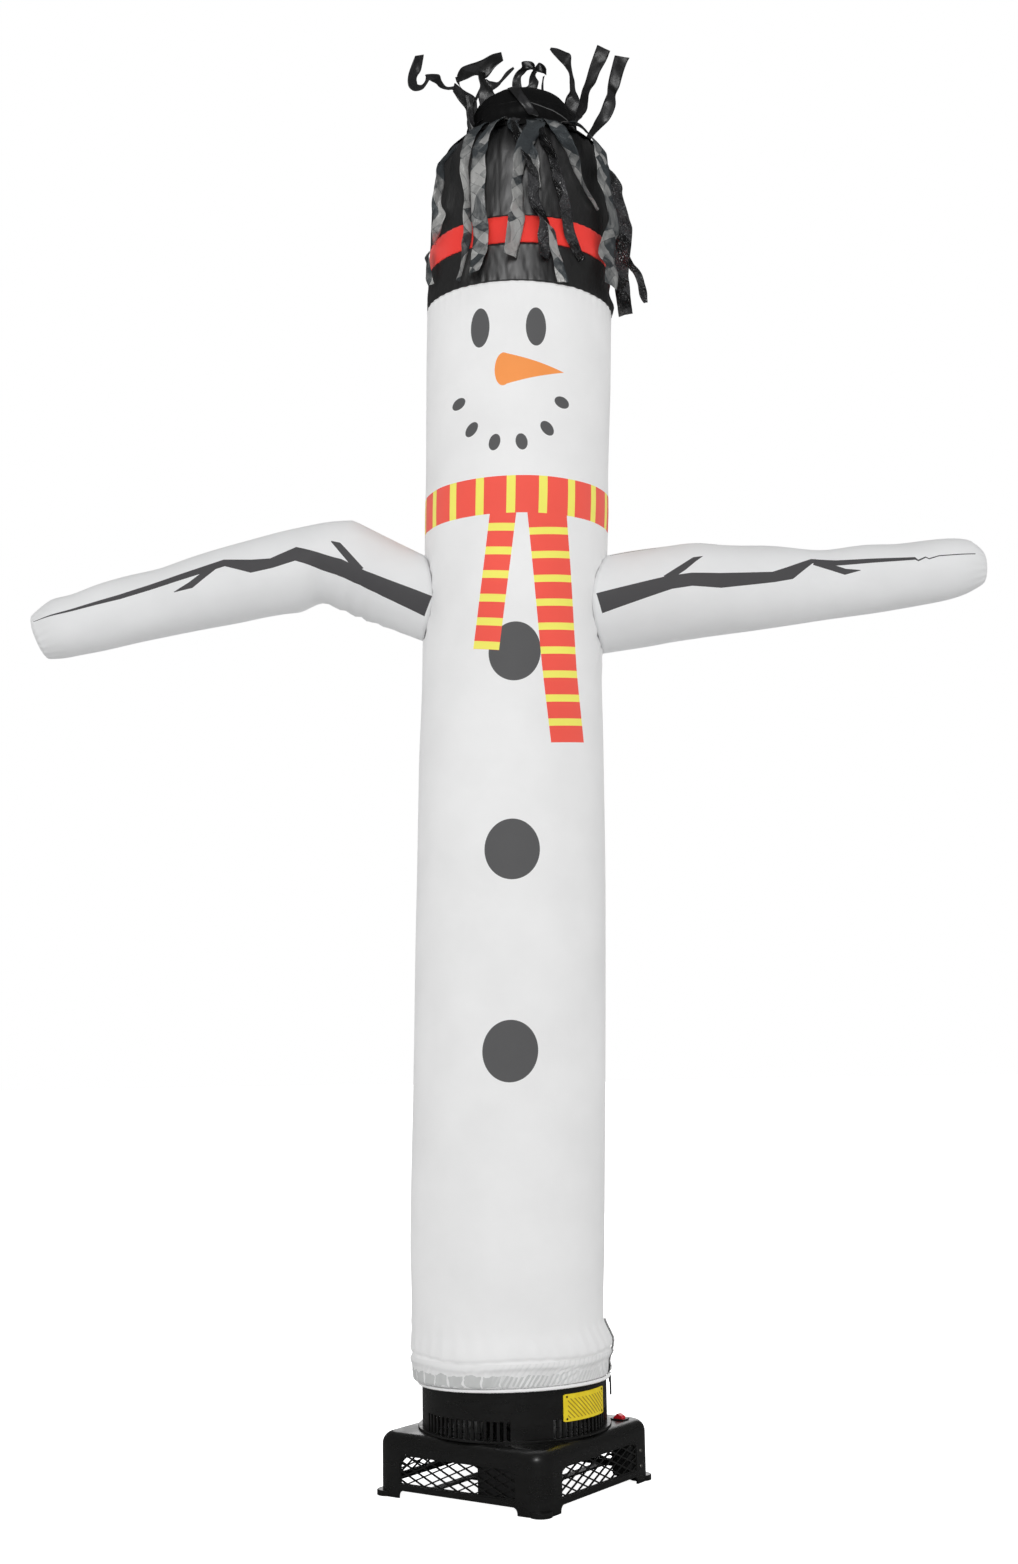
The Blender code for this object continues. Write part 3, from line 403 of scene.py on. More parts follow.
def curve_through(points, step):
    """A Catmull-Rom curve through vectors, with points about step apart."""
    path = []
    for i in range(len(points) - 1):
        p0, p1 = points[max(i - 1, 0)], points[i]
        p2, p3 = points[i + 1], points[min(i + 2, len(points) - 1)]
        count = max(1, round((p2 - p1).length / step))
        for k in range(count):
            t = k / count
            path.append(0.5 * (2 * p1 + (p2 - p0) * t + (2 * p0 - 5 * p1 + 4 * p2 - p3) * t**2
                               + (3 * p1 - p0 - 3 * p2 + p3) * t**3))
    return path + [points[-1]]


def sway(angle, z):
    share = fade(z, HEM_LEVEL_Z, 0.34) * fade(z, 2.0, 1.9)
    return 0.001 * share * (0.6 * sin(2 * angle + 9 * z) + 0.4 * sin(3 * angle - 14 * z))


def hem_rise(angle, z):
    share = min(1.0, max(0.0, (HEM_LEVEL_Z - z) / (HEM_LEVEL_Z - HEM_Z)))
    return HEM_RISE * share * cos(angle - HEM_RISE_AT)


def tube_point(angle, z, lift=0.0, rows=OUTLINE):
    """A point on the tube's or hat's outer face, or lifted off it along its normal."""
    x, radius, slope = smooth_at(rows, z)
    tilt = hypot(1.0, slope)
    out = radius + sway(angle, z) + lift / tilt
    return Vector((x + out * sin(angle), -out * cos(angle),
                   z + hem_rise(angle, z) - lift * slope / tilt))


def finish_piece(obj, material, replaces=(), body=BODY, thick=0.0, inward=True):
    """Material, slot, body and thickness of one piece."""
    obj.data.materials.append(material)
    if thick:
        solid = obj.modifiers.new("cloth", "SOLIDIFY")
        solid.thickness = thick
        solid.offset = -1.0 if inward else 0.0
    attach(obj, body)
    if replaces:
        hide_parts(*replaces)


def sharpen(obj, degrees):
    """Smooth shading, with edges past an angle kept sharp."""
    obj.data.shade_smooth()
    obj.data.set_sharp_from_angle(angle=radians(degrees))


def mesh_object(name, shape, sharp_angle=None):
    mesh = bpy.data.meshes.new(name)
    shape.to_mesh(mesh)
    shape.free()
    obj = linked(name, mesh)
    mesh.shade_smooth()
    if sharp_angle:
        sharpen(obj, sharp_angle)
    return obj


def join_rings(shape, rings, closed=False, flip=False, ends=False):
    """Quads between rings of vertices, with their fronts turned round by flip; closed
    joins the last ring to the first, and ends puts a face on each end."""
    for low, high in zip(rings, rings[1:] + rings[:1] if closed else rings[1:]):
        for i in range(len(low)):
            j = (i + 1) % len(low)
            if flip:
                shape.faces.new((low[i], high[i], high[j], low[j]))
            else:
                shape.faces.new((low[i], low[j], high[j], high[i]))
    if ends:
        shape.faces.new(rings[0] if flip else rings[0][::-1])
        shape.faces.new(rings[-1][::-1] if flip else rings[-1])


def circle(count):
    """Angles once round."""
    return [2 * pi * i / count for i in range(count)]


def facing(angle, out=1.0, z=0.0):
    """A point at an angle round the blower's axis."""
    return Vector((out * sin(angle), -out * cos(angle), z))


def sideways(angle):
    return Vector((cos(angle), sin(angle), 0))


def steps(*spans):
    """Values through (start, step) spans, ending at the last pair's start."""
    values = []
    for (start, step), (stop, _) in zip(spans, spans[1:]):
        count = max(1, round((stop - start) / step))
        values += [start + (stop - start) * i / count for i in range(count)]
    return values + [spans[-1][0]]


def add_fan(shape, ring, tip):
    """Triangles from a ring of vertices to a tip."""
    tip = shape.verts.new(tip)
    for a, b in zip(ring, ring[1:] + ring[:1]):
        shape.faces.new((a, b, tip))


PRINT_RADIUS = 0.15  # an angle round the tube times this is metres of cloth
CLOTH_THICK, RIBBON_THICK = 0.0007, 0.0003


def make_skin(name, count, rows, point, material, replaced, pole=None):
    """A sheet round the tube: point(angle, row) for each row, closed by a pole where one
    is given. UV "print" holds the angle as metres of cloth, and the row."""
    shape = bmesh.new()
    layer = shape.loops.layers.uv.new("print")
    angles = [angle - pi for angle in (*circle(count), 2 * pi)]
    rings = [[shape.verts.new(point(a, row)) for a in angles[:-1]] for row in rows]
    for low, high, z0, z1 in zip(rings, rings[1:], rows, rows[1:]):
        for i in range(count):
            j = (i + 1) % count
            face = shape.faces.new((low[i], low[j], high[j], high[i]))
            for loop, a, z in zip(face.loops, (i, i + 1, i + 1, i), (z0, z0, z1, z1)):
                loop[layer].uv = (angles[a] * PRINT_RADIUS, z)
    if pole:
        add_fan(shape, rings[-1], pole)
    piece = mesh_object(name, shape)
    finish_piece(piece, material, [replaced], thick=CLOTH_THICK)


# --- Cloth materials -----------------------------------------------------------------
WEAVE, WEAVE_DEEP = 0.0011, 0.00005
# The arms' white is the body's cloth, painted greyer and a little bluer as shade.
WHITE, ARM_SHADED_WHITE = (0.90, 0.90, 0.90, 1.0), (0.83, 0.835, 0.84, 1.0)
THIN_WHITE = (0.58, 0.59, 0.585, 1.0)  # single cloth of the hem, with the drum behind it; also the painted shade of its pleats
PRINT_DARK, TWIG_DARK = srgb(92, 92, 93), srgb(77, 76, 78)
RED, BAND_RED = srgb(255, 91, 76), srgb(252, 54, 44)
YELLOW, ORANGE, CHARCOAL = srgb(255, 246, 108), srgb(255, 157, 79), srgb(18, 18, 20)


def weave(place):
    """Bump of a plain weave, and the broad softness of thin blown cloth."""
    waves = [calc("SINE", calc("MULTIPLY", axis, 2 * pi / WEAVE)) for axis in parts(place)]
    total = calc("ADD", waves[2], calc("MAXIMUM", waves[0], waves[1]))
    fine = bump(total, WEAVE_DEEP, 0.35)
    return bump(blotch(place, 30.0, 3.0, 0.55), 0.0025, 0.22, fine)


def cloth_material(name, colour, roughness=0.6, sheen=0.15, prints=None, spread=0.04, gloss=0.35,
                   ior=1.5):
    """Thin woven cloth; prints(tree) gives (mask, colour) pairs, laid over in order."""
    material, tree, shader = new_material(name, Roughness=roughness, Sheen_Weight=sheen,
                                          Specular_IOR_Level=gloss, IOR=ior)
    place = place_of(tree)
    shade = mapped(blotch(place, 9.0, 3.0), 0.3, 0.7, 1.0 - spread, 1.0 + spread / 2)
    base = node(tree, "RGB")
    base.default_value = colour
    value = base
    for mask, ink in (prints(tree) if prints else ()):
        value = mix_colour(mask, value, ink)
    shaded = node(tree, "VectorMath", {0: value, "Scale": shade}, operation="SCALE")
    dress(shader, Base_Color=shaded, Normal=weave(place))
    return material


# --- Prints --------------------------------------------------------------------------
PRINT_TURN, PRINT_DROP = -0.65, 0.0008  # the whole print, in degrees and metres


def round_print(degrees, z):
    return radians(degrees + PRINT_TURN) * PRINT_RADIUS, z - PRINT_DROP


EYES = ((-23.7, 1.8063), (10.8, 1.8039))
EYE_RADII = (0.0162, 0.032)
# angle, height, turn in degrees
COALS = ((-38.2, 1.6881, -74), (-28.4, 1.6414, -44), (-13.2, 1.6156, -13), (3.1, 1.6144, 14),
         (18.5, 1.6376, 44), (27.9, 1.6828, 75))
COAL_RADII = (0.0092, 0.0134)
NOSE = ((-9.3, 1.7619), (28.8, 1.7322), (-9.8, 1.7075), (-10.5, 1.7343))
NOSE_END, NOSE_END_RADII = (-8.7, 1.7343), (0.0141, 0.0271)
BUTTONS = ((2.0, 1.280), (1.2, 0.9704), (1.1, 0.6644))
BUTTON_RADII = (0.0425, 0.0467)
SCARF_Z = (1.499, 1.559)
# four corners of each tail, from its upper left round to its lower left
LEFT_TAIL = ((-15.2, 1.5049), (0.8, 1.5029), (-7.7, 1.2818), (-24.5, 1.2871))
RIGHT_TAIL = ((7.1, 1.5029), (32.2, 1.5081), (50.6, 1.1418), (25.3, 1.1366))
# number of bars, and as shares of the tail: where they start, their pitch and height
LEFT_TAIL_BARS = (6, 0.0899, 0.1705, 0.0564)
RIGHT_TAIL_BARS = (9, 0.0744, 0.1029, 0.0312)
STRIPE_AT, STRIPE_PITCH, STRIPE_HALF = -3.4, 19.3, 0.138  # degrees, degrees, share
LEFT_TWIGS = (
    ((-0.1183, 1.3721, 0.0165), (-0.2264, 1.4203, 0.0118), (-0.2618, 1.4376, 0.0126),
     (-0.3296, 1.4584, 0.0118), (-0.3689, 1.4442, 0.0082), (-0.4018, 1.4406, 0.011),
     (-0.4461, 1.4485, 0.0063), (-0.6144, 1.3968, 0.0041), (-0.758, 1.3624, 0.0004)),
    ((-0.2263, 1.4298, 0.0066), (-0.2626, 1.4734, 0.0053), (-0.2731, 1.4796, 0.0008)),
    ((-0.4574, 1.4460, 0.0050), (-0.4995, 1.4124, 0.0055), (-0.5267, 1.4018, 0.0005)),
)
RIGHT_TWIGS = (
    ((0.1552, 1.3685, 0.0164), (0.2694, 1.4007, 0.0112), (0.304, 1.4053, 0.0109),
     (0.3503, 1.4034, 0.0122), (0.436, 1.4096, 0.0087), (0.4633, 1.4163, 0.0109),
     (0.5013, 1.4384, 0.0041), (0.5406, 1.4348, 0.0050), (0.6679, 1.4400, 0.0024),
     (0.6725, 1.4362, 0.0014), (0.6849, 1.4419, 0.0012), (0.6905, 1.4390, 0.0010),
     (0.7064, 1.4440, 0.0009), (0.7683, 1.4487, 0.0008)),
    ((0.2623, 1.4067, 0.0057), (0.2911, 1.4257, 0.0057), (0.3105, 1.4404, 0.0042),
     (0.3236, 1.4457, 0.0004)),
    ((0.5042, 1.4370, 0.0062), (0.5536, 1.4188, 0.0052), (0.5782, 1.4210, 0.0005)),
    ((0.1772, 1.4586, 0.0005), (0.2147, 1.4648, 0.0006), (0.2522, 1.4702, 0.0004)),
    ((0.3147, 1.4777, 0.0005), (0.3520, 1.4749, 0.0004)),
)


def between(value, low, high):
    return calc("MULTIPLY", calc("GREATER_THAN", value, low),
                calc("LESS_THAN", value, high))


def tail_prints(place, corners, bars):
    """A scarf tail and its yellow bars, as (mask, colour) pairs."""
    spots = [Vector(round_print(*corner)) for corner in corners]
    pairs = [(quad_mask(place, [tuple(spot) for spot in spots]), RED)]
    masks = []
    count, start, pitch, high = bars
    for i in range(count):
        shares = (start + pitch * i, start + pitch * i + high)
        left = [tuple(spots[0].lerp(spots[3], share)) for share in shares]
        right = [tuple(spots[1].lerp(spots[2], share)) for share in shares]
        masks.append(quad_mask(place, [left[0], right[0], right[1], left[1]]))
    pairs.append((any_of(masks), YELLOW))
    return pairs


def hem_prints(u, v):
    """The casing's lower half is one thin layer with the drum behind it; its pleats lie double
    and stay white, which is also painted shade of the pleats, as are the slanting darker stripes on its
    right.
    """
    high = calc("SUBTRACT", v, HEM_Z)
    wander = mapped(blotch(place_of(u), 60.0, 2.0), 0.3, 0.7, -0.5, 0.5)
    low_half = between(calc("MULTIPLY_ADD", wander, 0.006, high), 0.002, 0.0195)

    def pleats(pitch, slant, share):
        place = calc("MULTIPLY_ADD", high, -slant, u)
        place = calc("MULTIPLY_ADD", place, 1 / pitch, calc("MULTIPLY", wander, 0.25))
        return calc("COMPARE", calc("FRACT", place), 0.5, share)

    right = mapped(u, -0.030, 0.015, 0.0, 1.0)
    white = mix_number(right, pleats(0.0285, 0.0, 0.055), pleats(0.0078, 0.55, 0.24))
    clear = calc("SUBTRACT", 1.0, white)
    fewer = mapped(u, 0.03, 0.12, 0.95, 0.35)
    seen = calc("MULTIPLY", calc("MULTIPLY", low_half, clear), fewer)
    band = between(high, 0.001, CASING_Z - HEM_Z)
    # Painted shade: slanting darker stripes along the pleats on the casing's right.
    stripe = calc("MULTIPLY", calc("MULTIPLY", band, right),
                  calc("MULTIPLY", pleats(0.0093, 0.6, 0.17), 0.22))
    return [(mask, THIN_WHITE) for mask in (calc("MULTIPLY", band, 0.16), stripe, seen)]


def body_prints(tree):
    u, v, _ = parts(node(tree, "UVMap", uv_map="print"))
    place = print_place(u, v)
    dark = [ellipse_mask(place, round_print(*eye), EYE_RADII) for eye in EYES]
    dark += [ellipse_mask(place, round_print(a, z), COAL_RADII, radians(turn)) for a, z, turn in COALS]
    dark += [ellipse_mask(place, round_print(*button), BUTTON_RADII) for button in BUTTONS]
    pairs = [(any_of(dark), PRINT_DARK)]
    blunt = ellipse_mask(place, round_print(*NOSE_END), NOSE_END_RADII)
    nose = quad_mask(place, [round_print(*corner) for corner in NOSE])
    pairs.append((any_of([nose, blunt]), ORANGE))
    pairs += tail_prints(place, LEFT_TAIL, LEFT_TAIL_BARS)
    pairs += tail_prints(place, RIGHT_TAIL, RIGHT_TAIL_BARS)
    band = between(v, *SCARF_Z)
    pairs.append((band, RED))
    per_metre = 1 / (radians(STRIPE_PITCH) * PRINT_RADIUS)
    turn = calc("FRACT", calc("MULTIPLY_ADD", u, per_metre, 0.5 - STRIPE_AT / STRIPE_PITCH))
    stripe = calc("COMPARE", turn, 0.5, STRIPE_HALF)
    pairs.append((calc("MULTIPLY", band, stripe), YELLOW))
    return pairs + hem_prints(u, v)


def arm_prints(twigs):
    def prints(tree):
        x, y, z = parts(place_of(tree))
        place = print_place(x, z)
        masks = [quad_mask(place, quad) for twig in twigs for quad in stroke_quads(twig)]
        mask = any_of(masks)
        front = calc("LESS_THAN", y, 0.0)
        return [(calc("MULTIPLY", mask, front), TWIG_DARK)]

    return prints


# --- Tube ----------------------------------------------------------------------------
ARM_ROOTS = ((-pi / 2, 1.402, 0.074), (pi / 2, 1.374, 0.080))  # angle, height, radius


def arm_puckers(angle, z):
    """Small folds that run out from each armhole's seam."""
    total = 0.0
    for at, height, radius in ARM_ROOTS:
        u, v = (angle - at) * 0.18, z - height
        far = hypot(u, v) - radius
        if -0.02 < far < 0.12:
            turn = atan2(v, u)
            wrinkle = sin(13 * turn + 2 * sin(3 * turn)) + 0.6 * sin(29 * turn + 1.3)
            total += 0.0011 * wrinkle * exp(-abs(far) / 0.028) - 0.0016 * bell(far, 0.0, 0.006)
    return total


def hem_folds(angle, z):
    """The casing of the hem: pleats below its stitched crease, and soft folds above it."""
    u = angle * PRINT_RADIUS
    clear = fade(abs(angle - ZIP_AT), 0.10, 0.2)
    lean = (z - HEM_Z) * (1.2 if angle > 0.2 else 0.15)
    pleats = fold((u - lean) / 0.0105 + 1.5 * rough(u, 0, z, 22.0, 3.0))
    low = fade(z, CASING_Z, CASING_Z - 0.012) * fade(z, HEM_Z - 0.001, HEM_Z + 0.008)
    above = fade(z, CASING_Z + 0.075, CASING_Z + 0.004) * fade(z, CASING_Z - 0.004, CASING_Z + 0.004)
    folds = 0.6 * sin(34 * angle + 5 * rough(u, 0, z, 9.0, 8.0)) + rough(u, 0.3 * z, 0, 60.0, 1.0)
    way = z - 0.0022 * sin(5 * angle + 1.0)
    crease = 0.0026 * bell(way, CASING_Z + 0.002, 0.0034) - 0.0016 * bell(way, CASING_Z - 0.007, 0.004)
    return clear * (0.0013 * low * pleats + 0.0014 * above * folds) - crease


def body_relief(angle, z):
    """How far the inflated cloth is off its smooth form."""
    soft = rough(0.3 * sin(angle), 0.3 * cos(angle), 0.35 * z, 9.0) * 0.0016 * fade(z, 0.22, 0.4)
    seam = exp(-(SEAM_Z - z) / 0.014)
    gathers = sin(55 * angle) + rough(angle * PRINT_RADIUS, 0, z, 120.0)
    pucker = 0.0007 * seam * gathers if seam > 0.01 else 0.0
    hem = hem_folds(angle, z) if z < 0.30 else 0.0
    arms = arm_puckers(angle, z) if 1.2 < z < 1.6 else 0.0
    return soft + pucker + hem + arms


def seam_droop(angle, z, level_z):
    """The hat's seam is lower at one side; that fades out towards a level height."""
    return Vector((0, 0, SEAM_SLOPE * 0.1525 * sin(angle) * fade(z, level_z, SEAM_Z)))


def make_body():
    def point(angle, z):
        return tube_point(angle, z, body_relief(angle, z)) - seam_droop(angle, z, 1.740)

    rows = steps((HEM_Z, 0.0021), (0.214, 0.006), (0.30, 0.018), (1.25, 0.009), (1.60, 0.014),
                 (1.84, 0.0045), (SEAM_Z, 0))
    make_skin("tube_cloth", 280, rows, point, cloth_material("tube_cloth", WHITE, prints=body_prints),
              "body_tube")


def make_hem_roll():
    """The hem's rolled edge, bound round a draw cord that grips the drum."""
    def point(angle, turn):
        radius = HEM_ROLL_RADIUS * (1 + 0.10 * rough(3 * sin(angle), 3 * cos(angle), turn, 6.0)
                                    + 0.08 * fold(angle * 30 + turn / 6.3))
        z = HEM_ROLL_AT[1] + radius * 1.05 * sin(turn) + hem_rise(angle, HEM_Z)
        return facing(angle, HEM_ROLL_AT[0] + radius * cos(turn), z)

    shape = bmesh.new()
    rings = [[shape.verts.new(point(angle, turn)) for turn in circle(10)] for angle in circle(360)]
    join_rings(shape, rings, closed=True, flip=True)
    material = cloth_material("hem_roll", (0.95, 0.95, 0.95, 1))
    finish_piece(mesh_object("hem_roll", shape), material, ["hem_binding"])


# --- Arms ----------------------------------------------------------------------------
def arm_frame(row):
    """Middle, unit up and radius of a section row."""
    top, low = Vector((row[0], 0, row[1])), Vector((row[2], 0, row[3]))
    up = (top - low) / 2
    return (top + low) / 2, up.normalized(), up.length


def arm_tip(section, outward):
    """The way out of an arm's last section."""
    up = section[1]
    return Vector((outward * up.z, 0, -outward * up.x))


def arm_rows(rows, outward):
    """Close sections along an arm: (middle, up, radius, length along the arm)."""
    sections = []
    run = 0.0
    for i, row in enumerate(curve_through([Vector(row) for row in rows], 0.013)):
        middle, up, radius = arm_frame(row)
        run += (middle - sections[-1][0]).length if i else 0.0
        sections.append((middle, up, radius, run))
    out = arm_tip(sections[-1], outward)
    for scale, share in ARM_END_ROUND:
        sections.append((middle + out * ARM_END * share, up, radius * scale, run + ARM_END * share))
    return sections


def outside_tube(point):
    """How far a point is outside the tube's smooth face."""
    x, radius, _ = smooth_at(TUBE_ROWS, point.z)
    angle = atan2(point.x - x, -point.y)
    return hypot(point.x - x, point.y) - radius - sway(angle, point.z)


def share_at_tube(at, turn):
    """The share of an arm's length at which its face leaves the tube."""
    low, high = 0.0, 0.4
    for _ in range(18):
        middle = (low + high) / 2
        low, high = (middle, high) if outside_tube(at(turn, middle)) < 0 else (low, middle)
    return low


def make_arm(name, rows, outward, relief, twigs):
    sections = arm_rows(rows, outward)
    last = len(sections) - 1

    def at(turn, share):
        """A point of the arm's face at a share of its length."""
        k = min(int(share * last), last - 1)
        t = share * last - k
        (m0, u0, r0, s0), (m1, u1, r1, s1) = sections[k], sections[k + 1]
        middle, up = m0.lerp(m1, t), u0.lerp(u1, t).normalized()
        run = s0 + (s1 - s0) * t
        radius = r0 + (r1 - r0) * t
        radius += relief(turn, run, share) * min(1.0, radius / 0.03)
        return middle + up * (radius * cos(turn)) + Vector((0, radius * sin(turn), 0))

    starts = [(turn, share_at_tube(at, turn)) for turn in circle(104)]
    shape = bmesh.new()
    rings = [[shape.verts.new(at(turn, start + (1 - start) * k / last)) for turn, start in starts]
             for k in range(last + 1)]
    join_rings(shape, rings)
    add_fan(shape, rings[-1], sections[-1][0] + arm_tip(sections[-1], outward) * 0.0001)
    bmesh.ops.recalc_face_normals(shape, faces=shape.faces)
    arm = mesh_object(f"{name}_cloth", shape)
    # Painted shade: the arms' cloth is greyer than the body's.
    material = cloth_material(f"{name}_cloth", ARM_SHADED_WHITE, prints=arm_prints(twigs))
    finish_piece(arm, material, [name], thick=CLOTH_THICK)


def arm_soft(turn, run, share, seed, gathers):
    """Broad unevenness, root puckers and the stitched end of an arm."""
    soft = 0.0014 * rough(cos(turn), sin(turn), 6 * run, 1.6, seed)
    root = exp(-run / 0.03) * (sin(11 * turn + seed) + 0.6 * sin(23 * turn + 2 * seed))
    return soft + 0.0010 * root + 0.0008 * gathers * fade(share, 0.86, 0.95)


def left_relief(turn, run, share):
    creases = sin(230 * run + 2.2 * sin(2 * turn)) * 0.0022 * bell(run, 0.165, 0.05)
    creases *= fade(cos(turn), 0.2, -0.7)
    return arm_soft(turn, run, share, 2.0, sin(21 * turn)) + creases


def right_relief(turn, run, share):
    waves = 0.0016 * sin(42 * run + sin(turn)) * fade(cos(turn), 0.0, 0.8)
    return arm_soft(turn, run, share, 7.0, sin(19 * turn + 1)) + waves * fade(run, 0.1, 0.2)


def make_arms():
    make_arm("arm_left", LEFT_ARM, -1, left_relief, LEFT_TWIGS)
    make_arm("arm_right", RIGHT_ARM, 1, right_relief, RIGHT_TWIGS)


# --- Hat -----------------------------------------------------------------------------
CAP_SEAM_Z, PANEL_GAP = 2.217, 0.0004


def rough_round(angle, z, scale, seed=0.0):
    return rough(sin(angle), cos(angle), z, scale, seed)


def hat_creases(angle, z):
    """Fine slanting creases of the hat's thin satin."""
    drift = 2.2 * rough_round(angle, z, 7.0, 2.0)
    one_way = fold((angle * PRINT_RADIUS + 0.5 * z) / 0.031 + drift)
    other_way = fold((angle * PRINT_RADIUS - 0.35 * z) / 0.022 + 1.4 * drift)
    return 0.0003 * one_way + 0.0002 * other_way


def cap_seam_highlight(tree):
    """A painted highlight along the cap's slanting seam, on its right."""
    x, _, z = parts(place_of(tree))
    line = calc("COMPARE", calc("MULTIPLY_ADD", x, 0.25, z), 2.228, 0.0008)
    shown = mapped(x, 0.050, 0.065, 0.0, 0.8)
    return [(calc("MULTIPLY", line, shown), srgb(104, 104, 104))]


def brim_point(angle, z):
    seam = exp(-(z - SEAM_Z) / 0.010) + 0.6 * exp(-(BAND_LOW_Z - z) / 0.008)
    lift = 0.0007 * seam * (sin(55 * angle) + 0.5 * sin(91 * angle + 1))
    lift += 0.0010 * rough_round(angle, 3 * z, 5.0, 4.0) + hat_creases(angle, z)
    lift += 0.007 * bell(angle, 1.60, 0.25) * bell(z, SEAM_Z + 0.014, 0.012)
    return tube_point(angle, z, lift) - seam_droop(angle, z, BAND_LOW_Z)


def band_point(angle, z):
    middle = fade(abs(z - 0.5 * (BAND_LOW_Z + BAND_HIGH_Z)), 0.0225, 0.012)
    lift = 0.0010 * middle + 0.0006 * (1 - middle) * sin(60 * angle + 9 * z)
    return tube_point(angle, z, lift + 0.0006 * rough_round(angle, z, 6.0))


def crown_point(angle, z):
    gathers = sin(29 * angle + 3 * rough_round(angle, z, 3.0)) + 0.5 * sin(53 * angle)
    lift = 0.0020 * fade(z, 2.06, 2.17) * gathers
    lift += 0.0016 * rough_round(angle, 4 * z, 4.0, 9.0) + hat_creases(angle, z)
    seam = exp(-(z - BAND_HIGH_Z) / 0.008)
    return tube_point(angle, z, lift + 0.0006 * seam * sin(60 * angle))


def cap_point(angle, z):
    ruffle = fade(z, 2.152, 2.19) * fade(z, 2.268, 2.225)
    wrinkle = sin(9 * angle + 5 * rough_round(angle, 6 * z, 2.0, 5.0)) + 0.2 * sin(31 * angle + 30 * z)
    lift = 0.0012 * ruffle * wrinkle - 0.001 * ruffle + 0.0008 * bell(z, CAP_SEAM_Z, 0.0012)
    return tube_point(angle, z, lift, CAP_ROWS)


def make_hat():
    charcoal = cloth_material("hat_cloth", CHARCOAL, 0.45, 0.0, spread=0.12, gloss=0.5, ior=2.5)
    # The cap's black cloth, made a little darker than the crown's as painted shade.
    black = cloth_material("cap_cloth", srgb(14, 14, 15), 0.5, 0.0, prints=cap_seam_highlight, spread=0.12,
                           gloss=0.3)
    make_skin("brim_cloth", 360, steps((SEAM_Z + PANEL_GAP, 0.004), (BAND_LOW_Z, 0)), brim_point,
              charcoal, "hat_brim")
    make_skin("band_cloth", 240, steps((BAND_LOW_Z + PANEL_GAP, 0.0032), (BAND_HIGH_Z, 0)), band_point,
              cloth_material("band_cloth", BAND_RED), "hat_band")
    rows = steps((BAND_HIGH_Z + PANEL_GAP, 0.004), (2.10, 0.004), (2.15, 0.0022), (CROWN_TOP_Z, 0))
    make_skin("crown_cloth", 360, rows, crown_point, charcoal, "hat_crown")
    rows = steps((CAP_ROWS[0][0], 0.0024), (CAP_SEAM_Z - 0.003, 0.0006), (CAP_SEAM_Z + 0.003, 0.0024),
                 (CAP_ROWS[-1][0], 0))
    make_skin("cap_cloth", 200, rows, cap_point, black, "hat_cap",
              pole=Vector((CAP_ROWS[-1][1], 0, 2.2675)))


# --- Streamers -----------------------------------------------------------------------
# degrees, height and width in mm, and mm further off the hat, from the root down
SILVER_FRONT = (
    ((-57.0, 2115, 9), (-57.2, 2098, 16), (-56.4, 2077, 16), (-59.0, 2057, 17), (-59.0, 2037, 20),
     (-56.2, 2017, 24), (-57.6, 1999, 21), (-60.5, 1983, 12), (-63.5, 1977, 6)),
    ((-72.2, 1971, 9), (-68.1, 1945, 11), (-65.4, 1923, 12), (-63.5, 1907, 13)),
    ((-36.0, 2148, 20), (-36.3, 2118, 20), (-36.4, 2091, 16), (-36.4, 2071, 14), (-34.2, 2047, 13),
     (-33.6, 2024, 11), (-33.5, 2004, 12), (-32.0, 1974, 15), (-33.1, 1949, 13), (-34.3, 1930, 9),
     (-36.1, 1909, 6), (-38.8, 1891, 7)),
    ((-18.9, 2149, 18), (-23.8, 2127, 24), (-25.0, 2106, 24), (-25.5, 2083, 24), (-25.4, 2063, 25),
     (-25.3, 2034, 24), (-24.7, 2001, 25), (-23.1, 1968, 26), (-22.6, 1936, 25), (-24.0, 1911, 23),
     (-25.6, 1892, 16)),
    ((8.6, 2146, 31), (2.6, 2114, 26), (-0.9, 2085, 22), (-2.6, 2056, 17), (-2.5, 2027, 18),
     (-2.0, 2001, 20), (-2.5, 1975, 26), (-3.7, 1950, 25), (-4.9, 1931, 22), (-5.6, 1915, 19)),
    ((-7.5, 2148, 17), (-0.4, 2120, 17), (7.0, 2092, 16), (9.0, 2074, 11), (10.9, 2057, 4),
     (12.5, 2035, 2)),
    ((16.3, 1977, 6), (19.4, 1952, 12), (20.6, 1933, 15), (23.0, 1915, 17), (25.1, 1896, 18),
     (26.4, 1879, 18)),
    ((22.3, 2152, 27), (27.2, 2119, 22), (31.4, 2101, 19), (35.0, 2080, 13), (40.5, 2059, 6),
     (47.3, 2038, 6), (55.8, 2025, 4)),
    ((40.3, 2150, 19), (48.4, 2130, 21), (52.5, 2109, 26), (53.7, 2083, 27), (56.0, 2062, 26),
     (59.4, 2043, 24), (64.1, 2025, 23), (67.1, 2005, 24), (62.7, 1977, 30), (62.4, 1953, 33),
     (64.6, 1929, 30), (62.1, 1894, 25)),
    ((59.5, 2110, 15), (72.6, 2101, 14), (87.3, 2093, 13, 3), (87.1, 2065, 10, 11), (87.0, 2041, 7, 17)),
)
BLACK_FRONT = (
    ((-5.9, 2141, 15), (-0.1, 2102, 17), (6.1, 2069, 19), (7.3, 2043, 19), (7.2, 2021, 18),
     (10.5, 1995, 18), (14.1, 1976, 18), (14.9, 1954, 21), (15.0, 1932, 19), (14.2, 1915, 15)),
    ((12.1, 2125, 12), (17.5, 2098, 13), (20.7, 2073, 15), (22.7, 2054, 18), (25.4, 2032, 16),
     (28.1, 2008, 18), (29.6, 1986, 20), (32.0, 1961, 20), (35.4, 1941, 18), (39.9, 1921, 12)),
)
